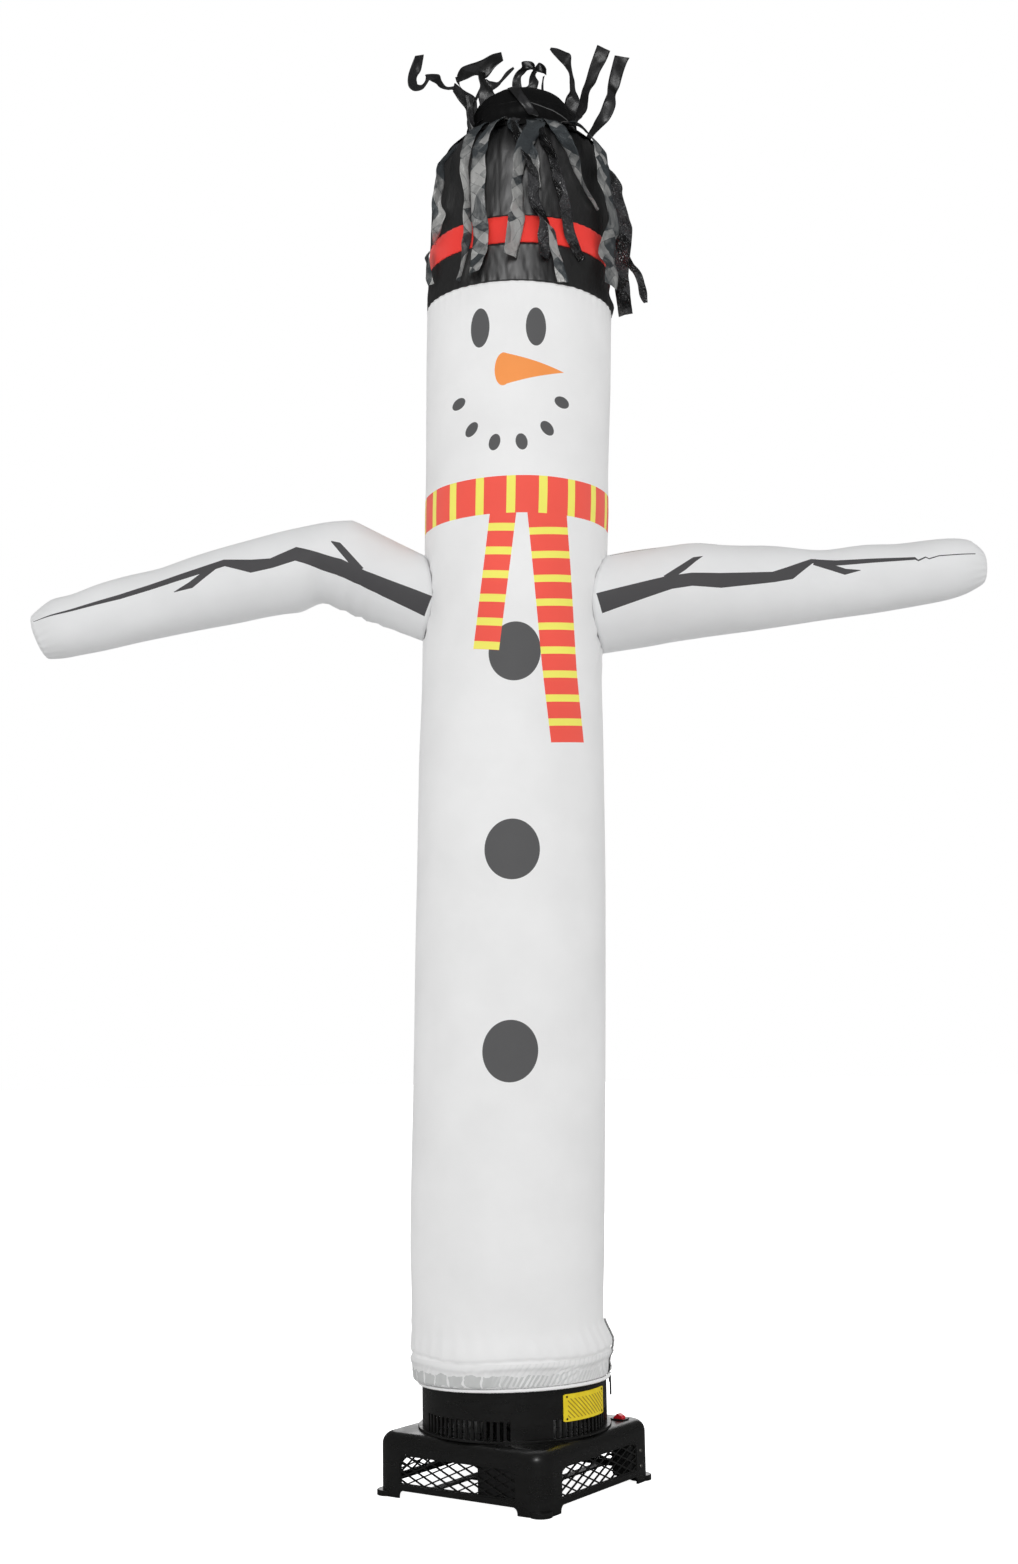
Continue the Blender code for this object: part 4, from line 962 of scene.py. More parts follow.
# x and z of both edges, and the y they lie at, in mm
SIDE_STREAMERS = (
    ((173, 2113, 188, 2103, -72), (183, 2087, 200, 2082, -62), (188, 2062, 210, 2063, -53),
     (193, 2038, 220, 2034, -44), (200, 2014, 226, 2014, -34), (195, 1987, 224, 1985, -34),
     (191, 1957, 220, 1956, -34), (193, 1931, 218, 1930, -34), (196, 1894, 220, 1899, -34),
     (200, 1859, 223, 1864, -34)),
    ((212, 1968, 221, 1964, -40), (218, 1943, 227, 1948, -38), (226, 1929, 237, 1935, -37),
     (232, 1915, 244, 1918, -36), (235, 1897, 248, 1899, -34), (237, 1885, 242, 1886, -34)),
)
# the y of each streamer, then x and z of both edges from the root up, in mm
TOP_STREAMERS = (
    (25, ((-46, 2232, -27, 2237), (-48, 2251, -29, 2263), (-50, 2263, -32, 2282),
        (-62, 2279, -49, 2295), (-69, 2293, -66, 2310), (-72, 2299, -68, 2305),
        (-80, 2300, -81, 2303), (-91, 2302, -88, 2313), (-100, 2309, -94, 2327),
        (-109, 2316, -117, 2327), (-113, 2316, -118, 2322), (-118, 2308, -119, 2315),
        (-125, 2300, -124, 2308), (-137, 2298, -130, 2308), (-146, 2306, -131, 2310),
        (-147, 2321, -131, 2321), (-141, 2343, -124, 2335), (-133, 2360, -119, 2362))),
    (-40, ((-43, 2186, -30, 2190), (-45, 2205, -34, 2204), (-47, 2223, -34, 2222),
        (-47, 2239, -35, 2237), (-49, 2255, -36, 2254))),
    (-35, ((-56, 2273, -61, 2283), (-53, 2279, -61, 2285), (-42, 2283, -54, 2302),
        (-29, 2288, -39, 2309), (-13, 2284, -20, 2317), (3, 2303, -2, 2326), (17, 2314, 14, 2328))),
    (-47, ((-23, 2215, 0, 2226), (-24, 2231, 2, 2246), (-27, 2251, -1, 2255), (-22, 2266, -3, 2262),
        (-24, 2279, -12, 2275), (-25, 2291, -11, 2288))),
    (-30, ((-14, 2260, -17, 2282), (-2, 2265, -6, 2281), (10, 2271, 6, 2279), (18, 2280, 13, 2284),
        (28, 2292, 23, 2296), (36, 2302, 35, 2304))),
    (50, ((38, 2286, 56, 2293), (32, 2309, 49, 2310), (32, 2326, 47, 2330), (39, 2340, 53, 2337),
        (49, 2349, 59, 2343), (49, 2360, 63, 2345), (65, 2360, 65, 2345), (70, 2352, 69, 2342))),
    (45, ((46, 2291, 62, 2279), (50, 2307, 70, 2295), (59, 2314, 77, 2317), (62, 2325, 77, 2323),
        (68, 2336, 74, 2331), (71, 2341, 77, 2336), (78, 2355, 82, 2337), (87, 2349, 85, 2334),
        (90, 2341, 89, 2330))),
    (60, ((98, 2296, 83, 2296), (89, 2309, 84, 2309), (88, 2324, 84, 2324), (90, 2338, 87, 2336))),
    (60, ((132, 2262, 152, 2261), (122, 2281, 152, 2280), (124, 2297, 147, 2297),
        (133, 2310, 143, 2316), (134, 2329, 139, 2339), (131, 2344, 137, 2361),
        (122, 2358, 134, 2378), (114, 2369, 124, 2384), (104, 2381, 112, 2390), (99, 2389, 101, 2392))),
    (42, ((131, 2223, 137, 2222), (135, 2236, 141, 2232), (140, 2250, 147, 2246),
        (143, 2265, 159, 2263), (147, 2280, 163, 2280), (151, 2297, 167, 2300),
        (158, 2317, 176, 2315), (165, 2343, 184, 2336), (173, 2366, 195, 2356), (180, 2385, 202, 2373))),
    (-30, ((154, 2176, 160, 2173), (161, 2190, 170, 2184), (168, 2206, 182, 2197),
        (177, 2224, 195, 2213), (184, 2242, 204, 2234), (191, 2257, 206, 2253),
        (193, 2279, 212, 2271), (198, 2300, 219, 2295), (203, 2319, 225, 2312), (205, 2326, 230, 2321))),
)


# the slant and the period in metres of the creases that cross a ribbon
CREASES = ((1.1, 0.060), (-0.9, 0.044))
RIBBON_STEP, RIBBON_ACROSS = 0.0034, 8
FLAT_FROM = 235  # degrees; from here round to the front the streamers lie flat
# streamers that start above ROOTED_FROM, in mm, are sewn in under the cap's edge
ROOT_Z, ROOTED_FROM = 2.176, 2110
# height and lift of the top streamers' roots, at the cap's edge or on the cap
EDGE_ROOT, CAP_ROOTS = (2.169, 0.002), ((2.196, 0.0018), (2.214, 0.006), (2.236, 0.007))


def crease_lines(along, across, slant, period):
    """Number of the facet between two creases, and a mask of the creases for painted shade along them.
    """
    place = calc("MULTIPLY", calc("MULTIPLY_ADD", across, slant, along), 2 / period)
    number = calc("FLOOR", place)
    away = calc("ABSOLUTE", calc("SUBTRACT", calc("SUBTRACT", place, number), 0.5))
    return number, mapped(away, 0.46, 0.49, 0.0, 1.0)


def ribbon_material(name, dark, light, top_shade, crinkled, **values):
    """Crinkled lame with painted light and shade: each facet between creases gets its own
    lit or shaded tone, the creases get painted shade, and near the hat's top it gets painted shade."""
    material, tree, shader = new_material(name, **values)
    uv = node(tree, "UVMap", uv_map="ribbon")
    wobble = node(tree, "TexNoise", {"Vector": uv, "Scale": 30.0}, out=1)
    wobble = vector_calc("MULTIPLY", wobble, (0.012, 0.012, 0.0))
    along, across, _ = parts(vector_calc("ADD", uv, wobble))
    (first, line), (second, other_line) = [crease_lines(along, across, *crease) for crease in CREASES]
    band = node(tree, "TexWhiteNoise", {"W": first}, noise_dimensions="1D")
    both = node(tree, "CombineXYZ", {0: first, 1: second})
    cell = node(tree, "TexWhiteNoise", {"Vector": both}, noise_dimensions="3D")
    # Painted light and shade: a lit or shaded tone for each facet, with some random tone.
    level = calc("MULTIPLY_ADD", band, 0.55, calc("MULTIPLY", cell, 0.45))
    level = calc("MULTIPLY_ADD", blotch(uv, 70.0, 4.0), 0.55, calc("SUBTRACT", level, 0.10))
    crease_shade_shown = mapped(blotch(uv, 38.0, 2.0), 0.45, 0.62, 0.0, 0.8)
    high = parts(place_of(tree))[2]
    # Painted shade near the hat's top.
    level = calc("SUBTRACT", level, mapped(high, 2.06, 2.14, 0.0, top_shade))
    # Painted shade in the creases, shown in patches.
    level = calc("SUBTRACT", mapped(level, 0.40, 0.80, 0, 1),
                 calc("MULTIPLY", calc("MAXIMUM", line, other_line), crease_shade_shown))
    dress(shader, Base_Color=mix_colour(level, dark, light))
    skew = node(tree, "Mapping", {"Vector": uv, "Rotation": (0, 0, 0.6), "Scale": (110, 70, 1)})
    crinkle = node(tree, "TexVoronoi", {"Vector": skew}, out="Distance", feature="DISTANCE_TO_EDGE")
    fine = bump(crinkle, 0.004, crinkled)
    dress(shader, Normal=bump(blotch(uv, 220.0), 0.0012, 0.5 * crinkled, fine))
    return material


def crumpling(along, across, share, seed):
    """How far a point of a ribbon is lifted, 0 to 1: straight creases cross it both
    ways, and one runs along it."""
    folds = [fold((along + slant * across) / period) for slant, period in CREASES]
    small = fold((0.6 * along + 1.6 * across) / 0.014)
    pleat = fold(1.1 * share + 1.3 * rough(9 * along, 0, seed, 1.0) + 0.4 * seed)
    return 0.5 + (0.48 * folds[0] + 0.24 * folds[1] + 0.08 * small + 0.20 * pleat) / 2


def add_ribbon(shape, layer, sections, seed, crumple):
    """A crinkled ribbon through pairs of edge points. UV "ribbon" is metres along and
    across it, stretched and squeezed along so that the facets differ. Returns its area."""
    fine = curve_through([Vector((*left, *right)) for left, right in sections], RIBBON_STEP)
    fine = [(Vector(both[:3]), Vector(both[3:])) for both in fine]
    seed *= 3.7
    mirror = 1 if sin(seed) > 0 else -1
    shares = [j / RIBBON_ACROSS - 0.5 for j in range(RIBBON_ACROSS + 1)]
    run, area, rings, places = 0.0, 0.0, [], []
    for i, (left, right) in enumerate(fine):
        last, after = fine[max(i - 1, 0)], fine[min(i + 1, len(fine) - 1)]
        width = (right - left).length
        normal = (after[0] + after[1] - last[0] - last[1]).cross(right - left).normalized()
        gone = ((left + right) / 2 - (last[0] + last[1]) / 2).length
        run += gone
        area += gone * width
        loose = fade(i, 0.0, 6.0) * min(1.0, width / 0.012)
        along = run + 0.008 * sin(41 * run + seed) + 0.004 * sin(97 * run + 2 * seed) + 0.19 * seed
        marks = [(along, mirror * share * width) for share in shares]
        lifts = [crumple * loose * crumpling(*mark, share, seed) for mark, share in zip(marks, shares)]
        rings.append([shape.verts.new(left.lerp(right, share + 0.5) + normal * lift)
                      for share, lift in zip(shares, lifts)])
        places.append(marks)
    for ring, after, marks, next_marks in zip(rings, rings[1:], places, places[1:]):
        for j in range(RIBBON_ACROSS):
            face = shape.faces.new((ring[j], ring[j + 1], after[j + 1], after[j]))
            corners = (marks[j], marks[j + 1], next_marks[j + 1], next_marks[j])
            for loop, mark in zip(face.loops, corners):
                loop[layer].uv = mark
    return area


def hanging_sections(places, seed):
    """Edge points of a hanging streamer. At the sides it turns part of the way back to
    face the front, and where it looks narrow it has turned on its own axis."""
    centres = []
    for degrees, z, width, *out in places:
        back = 0.4 * abs(degrees) if abs(degrees) <= 90 else 0.0
        lift = 3.0 + width / 2 * sin(radians(back)) + sum(out)
        centres.append((tube_point(radians(degrees), z / 1000, lift / 1000), degrees, width / 1000))
    widest = max(width for _, _, width in centres)
    sections = []
    for centre, degrees, width in centres:
        look = radians(degrees * 0.6 if abs(degrees) <= 90 else degrees)
        real = min(widest, 1.5 * width + 0.002)
        turned = sqrt(max(0.0, real**2 - width**2)) / 2 * (1 if seed % 2 else -1)
        turned *= degrees < FLAT_FROM
        half = sideways(look) * (width / 2) + Vector((0, -turned, 0))
        out = facing(look) * abs(turned)
        sections.append((centre + out - half, centre + out + half))
    if places[0][1] > ROOTED_FROM:
        angle = radians(places[0][0])
        root = tube_point(angle, ROOT_Z, 0.0020)
        side = sideways(angle) * centres[0][2] * 0.46
        sections.insert(0, (root - side, root + side))
    return sections


def edge_sections(rows, y=None):
    """Edge points from rows of x and z at one y, then turned so that the streamer keeps
    its width. The turned edges move along the camera's rays, which keeps the outline."""
    full = 0.75 * max(hypot(row[2] - row[0], row[3] - row[1]) for row in rows) / 1000
    sections = []
    for row in rows:
        depth = row[4] if y is None else y
        left, right = (Vector((row[k], depth, row[k + 1])) / 1000 for k in (0, 2))
        turned = sqrt(max(0.0, full**2 - (right - left).length ** 2)) / 2
        pair = []
        for point, move in ((left, -turned), (right, turned)):
            ray = point - EYE
            pair.append(point + ray * (move / ray.y))
        sections.append(tuple(pair))
    return sections


def back_streamers():
    """Places of the streamers round the sides and back; the last lie flat at the left."""
    made = []
    for index in range(16):
        degrees = 100 + index * 10.6
        flat = degrees > FLAT_FROM
        drift = (2 if flat else 5) * sin(1.9 * index)
        swing = 0.5 if flat else 2.2
        drop = 1915 + 26 * sin(2.7 * index) + (60 if flat else 0) - 2149
        blown = -2.0 if flat else 16 * max(0.0, 1 - (degrees - 100) / 35)
        width = 22 - 5 * (index % 3 == 1)
        made.append(tuple(
            (degrees + drift * k / 6 + swing * sin(2.3 * k + index), 2149 + drop * k / 6,
             width + 3 * sin(1.3 * k + index), blown * fade(k / 6, 0.3, 0.7)) for k in range(7)))
    return made


def hanging_ribbons(streamers, seed):
    return [(hanging_sections(places, i), seed + i, 0.0015 if places[0][0] > FLAT_FROM else 0.006)
            for i, places in enumerate(streamers)]


def make_ribbons(name, material, replaced, ribbons):
    """One piece of ribbons, from the edge points, seed and crumple of each."""
    shape = bmesh.new()
    layer = shape.loops.layers.uv.new("ribbon")
    area = sum(add_ribbon(shape, layer, *ribbon) for ribbon in ribbons)
    piece = mesh_object(name, shape, 16)
    finish_piece(piece, material, [replaced], thick=RIBBON_THICK, inward=False)


def top_sections(y, rows):
    """A top streamer's edge points, with its root under its first row."""
    sections = edge_sections(rows, y)
    first = (sections[0][0] + sections[0][1]) / 2
    angle = atan2(first.x - CAP_ROWS[0][1], -first.y)
    side = sideways(angle) * 0.008
    if side.dot(sections[0][1] - sections[0][0]) < 0:
        side.negate()
    if first.z < 2.19:
        roots = [tube_point(angle, *EDGE_ROOT)]
    else:
        roots = [tube_point(angle, z, lift, CAP_ROWS) for z, lift in CAP_ROOTS
                 if z < first.z - 0.012 or z == CAP_ROOTS[0][0]]
    return [(centre - side, centre + side) for centre in roots] + sections


def top_ribbons():
    front = [tube_point(radians(a), z, 0.0025, CAP_ROWS)
             for a, z in ((-20, 2.2585), (-9, 2.236), (0, 2.214), (7, 2.196), (9, 2.178))]
    wide = [Vector((0.0085, 0, 0.0030 - 0.0012 * k)) for k in range(5)]
    flying = [(top_sections(y, rows), 60 + i, 0.004) for i, (y, rows) in enumerate(TOP_STREAMERS)]
    return flying + [([(p - w, p + w) for p, w in zip(front, wide)], 80, 0.0035)]


def make_streamers():
    # Each lame: its shaded and lit facet tones, its painted shade near the hat's top, its crinkle.
    silver = ribbon_material("silver_lame", srgb(74, 79, 82), srgb(196, 196, 194), 0.40, 0.35,
                             Metallic=0.35, Roughness=0.30)
    black = ribbon_material("black_lame", srgb(8, 8, 9), srgb(62, 62, 64), 0.3, 0.6,
                            Roughness=0.24, IOR=1.9)
    smooth = ribbon_material("black_satin", srgb(12, 12, 13), srgb(36, 36, 38), 0.0, 0.08,
                             Roughness=0.36, IOR=1.8)
    rest = back_streamers()
    make_ribbons("streamers_silver", silver, "fringe_silver",
                 hanging_ribbons((*SILVER_FRONT, *rest[::2]), 16))
    sides = [(edge_sections(rows), 40 + i, 0.016) for i, rows in enumerate(SIDE_STREAMERS)]
    make_ribbons("streamers_black", black, "fringe_black",
                 hanging_ribbons((*BLACK_FRONT, *rest[1::2]), 15) + sides)
    make_ribbons("streamers_top", smooth, "fringe_top", top_ribbons())


# --- Zip -----------------------------------------------------------------------------
# slider, bridge and pull: out from the slider's middle, down from its top, size, rounding
ZIP_METAL = ((-0.0002, 0.0075, (0.0034, 0.0066, 0.0096), 0.0009),
             (0.0009, 0.0075, (0.0018, 0.0024, 0.0070), 0.0006),
             (0.0006, 0.0225, (0.0026, 0.0040, 0.0210), 0.0004))


def zip_place(z, lift):
    """A point of the tape, over the hem's relief and straight down to the slider below
    it, and how far the tape's back is from the cloth there."""
    held = max(z, HEM_Z + 0.001)
    off = max(0.0, body_relief(ZIP_AT, held)) + 0.0022 * fade(z, 0.183, 0.1735)
    place = tube_point(ZIP_AT, held, lift + off) + Vector((0, 0, z - held))
    return place, off if z == held else 0.0


def make_zip_strip():
    """The zip's tape with its coil of teeth."""
    tape = bmesh.new()
    half, thick, coil = 0.0031, 0.0007, 0.0012
    front = ((-half, 0), (-coil, 0.0002), (0, 0.0004), (coil, 0.0002), (half, 0))
    rings = []
    for z in steps((HEM_Z - ZIP_BELOW, 0.002), (ZIP_TOP_Z, 0)):
        centre, off = zip_place(z, 0.0006)
        back = ((half, -thick - off), (-half, -thick - off))
        rings.append([tape.verts.new(centre + Vector((lift, y, 0))) for y, lift in front + back])
    join_rings(tape, rings, ends=True)
    for z in steps((HEM_Z - ZIP_BELOW + 0.0005, 0.0019), (ZIP_TOP_Z - 0.0005, 0)):
        add_rounded_box(tape, zip_place(z, 0.0019)[0], (0.0026, 0.0030, 0.0012), 0.0003)
    material = plastic_material("zip_strip", (0.022, 0.022, 0.024, 1), 0.5)
    finish_piece(mesh_object("zip_strip", tape, 40), material, ["zip_tape"])


def make_zip_pull():
    """The slider, its bridge and its pull."""
    metal = bmesh.new()
    low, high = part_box("zip_slider")
    x = (low[0] + high[0]) / 2 - 0.0012
    for out, down, size, radius in ZIP_METAL:
        add_rounded_box(metal, (x + out, 0, high[2] - down), size, radius)
    material = metal_material("zip_pull", (0.12, 0.12, 0.125, 1), 0.4)
    finish_piece(mesh_object("zip_pull", metal, 40), material, ["zip_slider"])


def add_rounded_box(shape, centre, size, radius):
    made = bmesh.ops.create_cube(shape, size=1.0)["verts"]
    for vert in made:
        vert.co = Vector(a * b for a, b in zip(vert.co, size))
    edges = {edge for vert in made for edge in vert.link_edges}
    bevelled = bmesh.ops.bevel(shape, geom=list(edges), offset=radius, segments=2, profile=0.5,
                               affect="EDGES")
    verts = {vert for face in bevelled["faces"] for vert in face.verts}
    for vert in verts | {vert for vert in made if vert.is_valid}:
        vert.co = Vector(centre) + vert.co


# --- Blower --------------------------------------------------------------------------
TO_BASE = Matrix.Rotation(radians(-34.5), 4, "Z")
HALF_SIDE, CORNER, SHOULDER, WALL, DECK_Z, RIM_Z = 0.154, 0.030, 0.018, 0.003, 0.092, 0.011
FOOT_FROM, FOOT_ROUND = 0.108, 0.008
EAR_RADIUS, EAR_OUT, EAR_HIGH = 0.017, 0.009, 0.008
WINDOW_HALF, WINDOW_LOW, WINDOW_HIGH, WINDOW_ROUND = 0.106, 0.020, 0.064, 0.014
CELL_WIDE, CELL_HIGH, BAR = 0.031, 0.0136, 0.0021
GRILLE_BEHIND, GRILLE_THICK, LATTICE_EDGE = 0.0006, 0.0022, 0.0022
DRUM_RADIUS, DRUM_WALL, DRUM_TOP_Z = 0.1425, 0.003, 0.206
FLANGE_OUT, FLANGE_HIGH, SLOT_HIGH_Z = 0.0065, 0.003, 0.122
ROCKER_AXIS, ROCKER_TILT = (0.121, 0.112, 0.0901), radians(8)
ROCKER_END, ROCKER_MIDDLE = 0.0062, 0.0112  # heights over the axis
SWITCH_HOLE = (0.0212, 0.0140, 0.02)
LEAST_CELL = 8e-6  # smaller rests of lattice cells stay closed
PLATE_FROM, PLATE_TO, PLATE_LOW, PLATE_HIGH = radians(30.4), radians(69.6), 0.1172, 0.1568
PLATE_BACK, PLATE_THICK = 0.0003, 0.0008
# radius and height of the fan's back plate, round its section
FAN_ROWS = ((0.020, 0.0824), (0.128, 0.0824), (0.130, 0.0828), (0.130, 0.0832), (0.129, 0.0838),
            (0.040, 0.0838), (0.020, 0.0838))
# low and high corners in the base's frame, against the walls' inner faces
DARK_INNER_BOXES = (((0.034, -0.1505, 0.0125), (0.118, -0.108, 0.080)),
                ((0.120, 0.086, 0.0125), (0.1505, 0.122, 0.0735)))
SLOTS_PER_GROUP, SLOT_PITCH, SLOT_WIDTH = 16, radians(4.1), radians(2.3)


def plastic_material(name, colour, roughness):
    """Moulded plastic: fine texture, faint scuffs and dust in patches."""
    material, tree, shader = new_material(name, Specular_IOR_Level=0.9)
    place = place_of(tree)
    speck = blotch(place, 700.0, 2.0)
    scuff = blotch(vector_calc("MULTIPLY", place, (1.0, 1.0, 4.0)), 28.0, 5.0, 0.65)
    dust = mapped(scuff, 0.5, 0.8, 0.0, 0.035)
    dress(shader, Base_Color=mix_colour(dust, colour, (0.10, 0.10, 0.095, 1)),
          Roughness=mapped(scuff, 0.3, 0.7, roughness - 0.05, roughness + 0.12),
          Normal=bump(speck, 0.0002, 0.25))
    return material


def metal_material(name, colour, roughness):
    material, tree, shader = new_material(name, Metallic=1.0)
    marks = blotch(place_of(tree), 90.0, 4.0, 0.6)
    low = tuple(0.75 * c for c in colour[:3]) + (1.0,)
    dress(shader, Base_Color=mix_colour(mapped(marks, 0.35, 0.65, 0.0, 1.0), low, colour),
          Roughness=mapped(marks, 0.3, 0.7, roughness, roughness + 0.18))
    return material


def arc(centre, radius, start, stop, count):
    for i in range(count + 1):
        a = start + (stop - start) * i / count
        yield centre[0] + radius * cos(a), centre[1] + radius * sin(a)


def rounded_square(half, radius, z):
    """A ring of points: each corner's arc, then 15 points along the side after it."""
    ring = []
    for k in range(4):
        turn = k * pi / 2
        centre = Matrix.Rotation(turn, 2) @ Vector((half - radius, half - radius))
        ring += [Vector((x, y, z)) for x, y in arc(centre, radius, turn, turn + pi / 2, 10)]
        next_start = Matrix.Rotation(turn, 3, "Z") @ Vector((-half + radius, half, z))
        ring += [ring[-1].lerp(next_start, share / 16) for share in range(1, 16)]
    return ring


def circle_like(ring, radius, z):
    return [Vector((p.x, p.y, 0)).normalized() * radius + Vector((0, 0, z)) for p in ring]


def add_loft(shape, rings, closed=False):
    made = [[shape.verts.new(point) for point in ring] for ring in rings]
    join_rings(shape, made, closed)
    return made


def add_capped_loft(shape, rings):
    made = add_loft(shape, rings)
    shape.faces.new(made[0])
    shape.faces.new(made[-1])


def add_prism(shape, profile, place):
    add_capped_loft(shape, [[place(point, end) for point in profile] for end in (0, 1)])


def solid_object(name, shape, sharp_angle=None):
    """An object in the base's frame turned to the dancer's, also a helper for a boolean."""
    bmesh.ops.recalc_face_normals(shape, faces=shape.faces)
    shape.transform(TO_BASE)
    return mesh_object(name, shape, sharp_angle)


def combine(obj, *cuts):
    """Applies booleans (operation, other object) and removes the helpers."""
    for operation, other in cuts:
        cut = obj.modifiers.new("cut", "BOOLEAN")
        cut.operation, cut.solver, cut.object = operation, "EXACT", other
    graph = bpy.context.evaluated_depsgraph_get()
    mesh = bpy.data.meshes.new_from_object(obj.evaluated_get(graph))
    obj.modifiers.clear()
    obj.data = mesh
    for _, other in cuts:
        bpy.data.objects.remove(other, do_unlink=True)


def bevel_edges(obj, width, angle=40, segments=2):
    soft = obj.modifiers.new("edge", "BEVEL")
    soft.width, soft.segments = width, segments
    soft.limit_method, soft.angle_limit = "ANGLE", radians(angle)
    sharpen(obj, angle)


def arched_profile(half, low, high, radius):
    """An upright opening with its two upper corners rounded."""
    right = arc((half - radius, high - radius), radius, 0, pi / 2, 8)
    left = arc((radius - half, high - radius), radius, pi / 2, pi, 8)
    return [(half, low), *right, *left, (-half, low)]


def window_profile(inset=0.0):
    return arched_profile(WINDOW_HALF - inset, WINDOW_LOW + inset, WINDOW_HIGH - inset,
                          WINDOW_ROUND - inset)


def foot_gap_profile():
    return arched_profile(FOOT_FROM, -0.01, RIM_Z, FOOT_ROUND)


def housing_shell():
    """The walls, the rounded shoulder and the deck with its hole for the drum."""
    outer = [rounded_square(HALF_SIDE, CORNER, z) for z in (0.0, 0.030, 0.055)]
    inner = []
    for i in range(10):
        turn = pi / 2 * i / 9
        inset = SHOULDER * (1 - cos(turn))
        z = DECK_Z - SHOULDER + SHOULDER * sin(turn)
        outer.append(rounded_square(HALF_SIDE - inset, CORNER - inset, z))
        within, under = max(inset, WALL), z - WALL * sin(turn)
        inner.append(rounded_square(HALF_SIDE - within, CORNER - within, under))
    hole = DRUM_RADIUS - DRUM_WALL
    outer.append(circle_like(outer[-1], hole, DECK_Z))
    inner.append(circle_like(inner[-1], hole, DECK_Z - WALL))
    bottom = rounded_square(HALF_SIDE - WALL, CORNER - WALL, 0.0)
    shape = bmesh.new()
    add_loft(shape, outer + inner[::-1] + [bottom], closed=True)
    return solid_object("housing_shell", shape)


def ears():
    shape = bmesh.new()
    reach = (HALF_SIDE - CORNER) * sqrt(2) + CORNER + EAR_OUT - EAR_RADIUS
    rows = (EAR_RADIUS, 0.0), (EAR_RADIUS, EAR_HIGH - 0.001), (EAR_RADIUS - 0.001, EAR_HIGH)
    for k in range(4):
        a = pi / 4 + k * pi / 2
        centre = (reach * cos(a), reach * sin(a))
        add_capped_loft(shape, [[Vector((x, y, z)) for x, y in list(arc(centre, r, 0, 2 * pi, 32))[:-1]]
                                for r, z in rows])
    return solid_object("ears", shape)


def make_housing(plastic):
    housing = housing_shell()
    cuts = [("UNION", ears())]
    reach = HALF_SIDE + 0.02
    for axis in "XY":
        def place(point, end):
            across = (-reach, reach)[end]
            return Vector((across, *point) if axis == "X" else (point[0], across, point[1]))

        for profile in (window_profile(), foot_gap_profile()):
            cutter = bmesh.new()
            add_prism(cutter, profile, place)
            cuts.append(("DIFFERENCE", solid_object("opening", cutter)))
    cutter = bmesh.new()
    add_rounded_box(cutter, (*ROCKER_AXIS[:2], DECK_Z), SWITCH_HOLE, 0.0003)
    cuts.append(("DIFFERENCE", solid_object("switch_hole", cutter)))
    combine(housing, *cuts)
    bevel_edges(housing, 0.0009)
    finish_piece(housing, plastic, ["blower_housing"])


def clip_polygon(polygon, clip):
    """A convex polygon cut to another convex one, both anticlockwise."""
    for a, b in zip(clip, clip[1:] + clip[:1]):
        inside = [(b[0] - a[0]) * (p[1] - a[1]) - (b[1] - a[1]) * (p[0] - a[0]) for p in polygon]
        kept = []
        for p, q, at_p, at_q in zip(polygon, polygon[1:] + polygon[:1], inside, inside[1:] + inside[:1]):
            if at_p >= 0:
                kept.append(p)
            if at_p * at_q < 0:
                t = at_p / (at_p - at_q)
                kept.append((p[0] + (q[0] - p[0]) * t, p[1] + (q[1] - p[1]) * t))
        polygon = kept
    return polygon


def lattice_cells():
    edge = window_profile(LATTICE_EDGE)
    wide = CELL_WIDE / 2 - BAR / 2 / sin(atan2(CELL_HIGH, CELL_WIDE))
    high = wide * CELL_HIGH / CELL_WIDE
    cells = []
    for i in range(-16, 17):
        for j in range(-6 + i % 2, 7, 2):
            x, z = i * CELL_WIDE / 2, (WINDOW_LOW + WINDOW_HIGH) / 2 + j * CELL_HIGH / 2
            cell = clip_polygon([(x + wide, z), (x, z + high), (x - wide, z), (x, z - high)], edge)
            if len(cell) > 2 and doubled_area(cell) > 2 * LEAST_CELL:
                cells.append(cell)
    return cells


def make_grilles(plastic):
    front = -HALF_SIDE + GRILLE_BEHIND
    back = front + GRILLE_THICK
    for k, side in enumerate(("front_left", "front_right", "back_right", "back_left")):
        turn = Matrix.Rotation(k * pi / 2, 3, "Z")
        plate, holes = bmesh.new(), bmesh.new()
        add_prism(plate, window_profile(0.0003),
                  lambda p, end: turn @ Vector((p[0], (front, back)[end], p[1])))
        for cell in lattice_cells():
            add_prism(holes, cell,
                      lambda p, end: turn @ Vector((p[0], (front - 0.002, back + 0.002)[end], p[1])))
        grille = solid_object(f"lattice_{side}", plate)
        combine(grille, ("DIFFERENCE", solid_object("cells", holes)))
        bevel_edges(grille, 0.0004, segments=1)
        finish_piece(grille, plastic, [f"grille_{side}"])


def drum_angles():
    """Angles round the drum, each with whether the span after it is part of a slot."""
    marks = []
    for k in range(4):
        first = k * pi / 2 - (SLOTS_PER_GROUP - 1) * SLOT_PITCH / 2
        for i in range(SLOTS_PER_GROUP):
            centre = first + i * SLOT_PITCH
            marks += [(centre - SLOT_WIDTH / 2, True), (centre, True), (centre + SLOT_WIDTH / 2, False)]
        rest_from = marks[-1][0]
        rest = pi / 2 - (rest_from - (first - SLOT_WIDTH / 2))
        marks += [(rest_from + rest * i / 12, False) for i in range(1, 12)]
    return marks


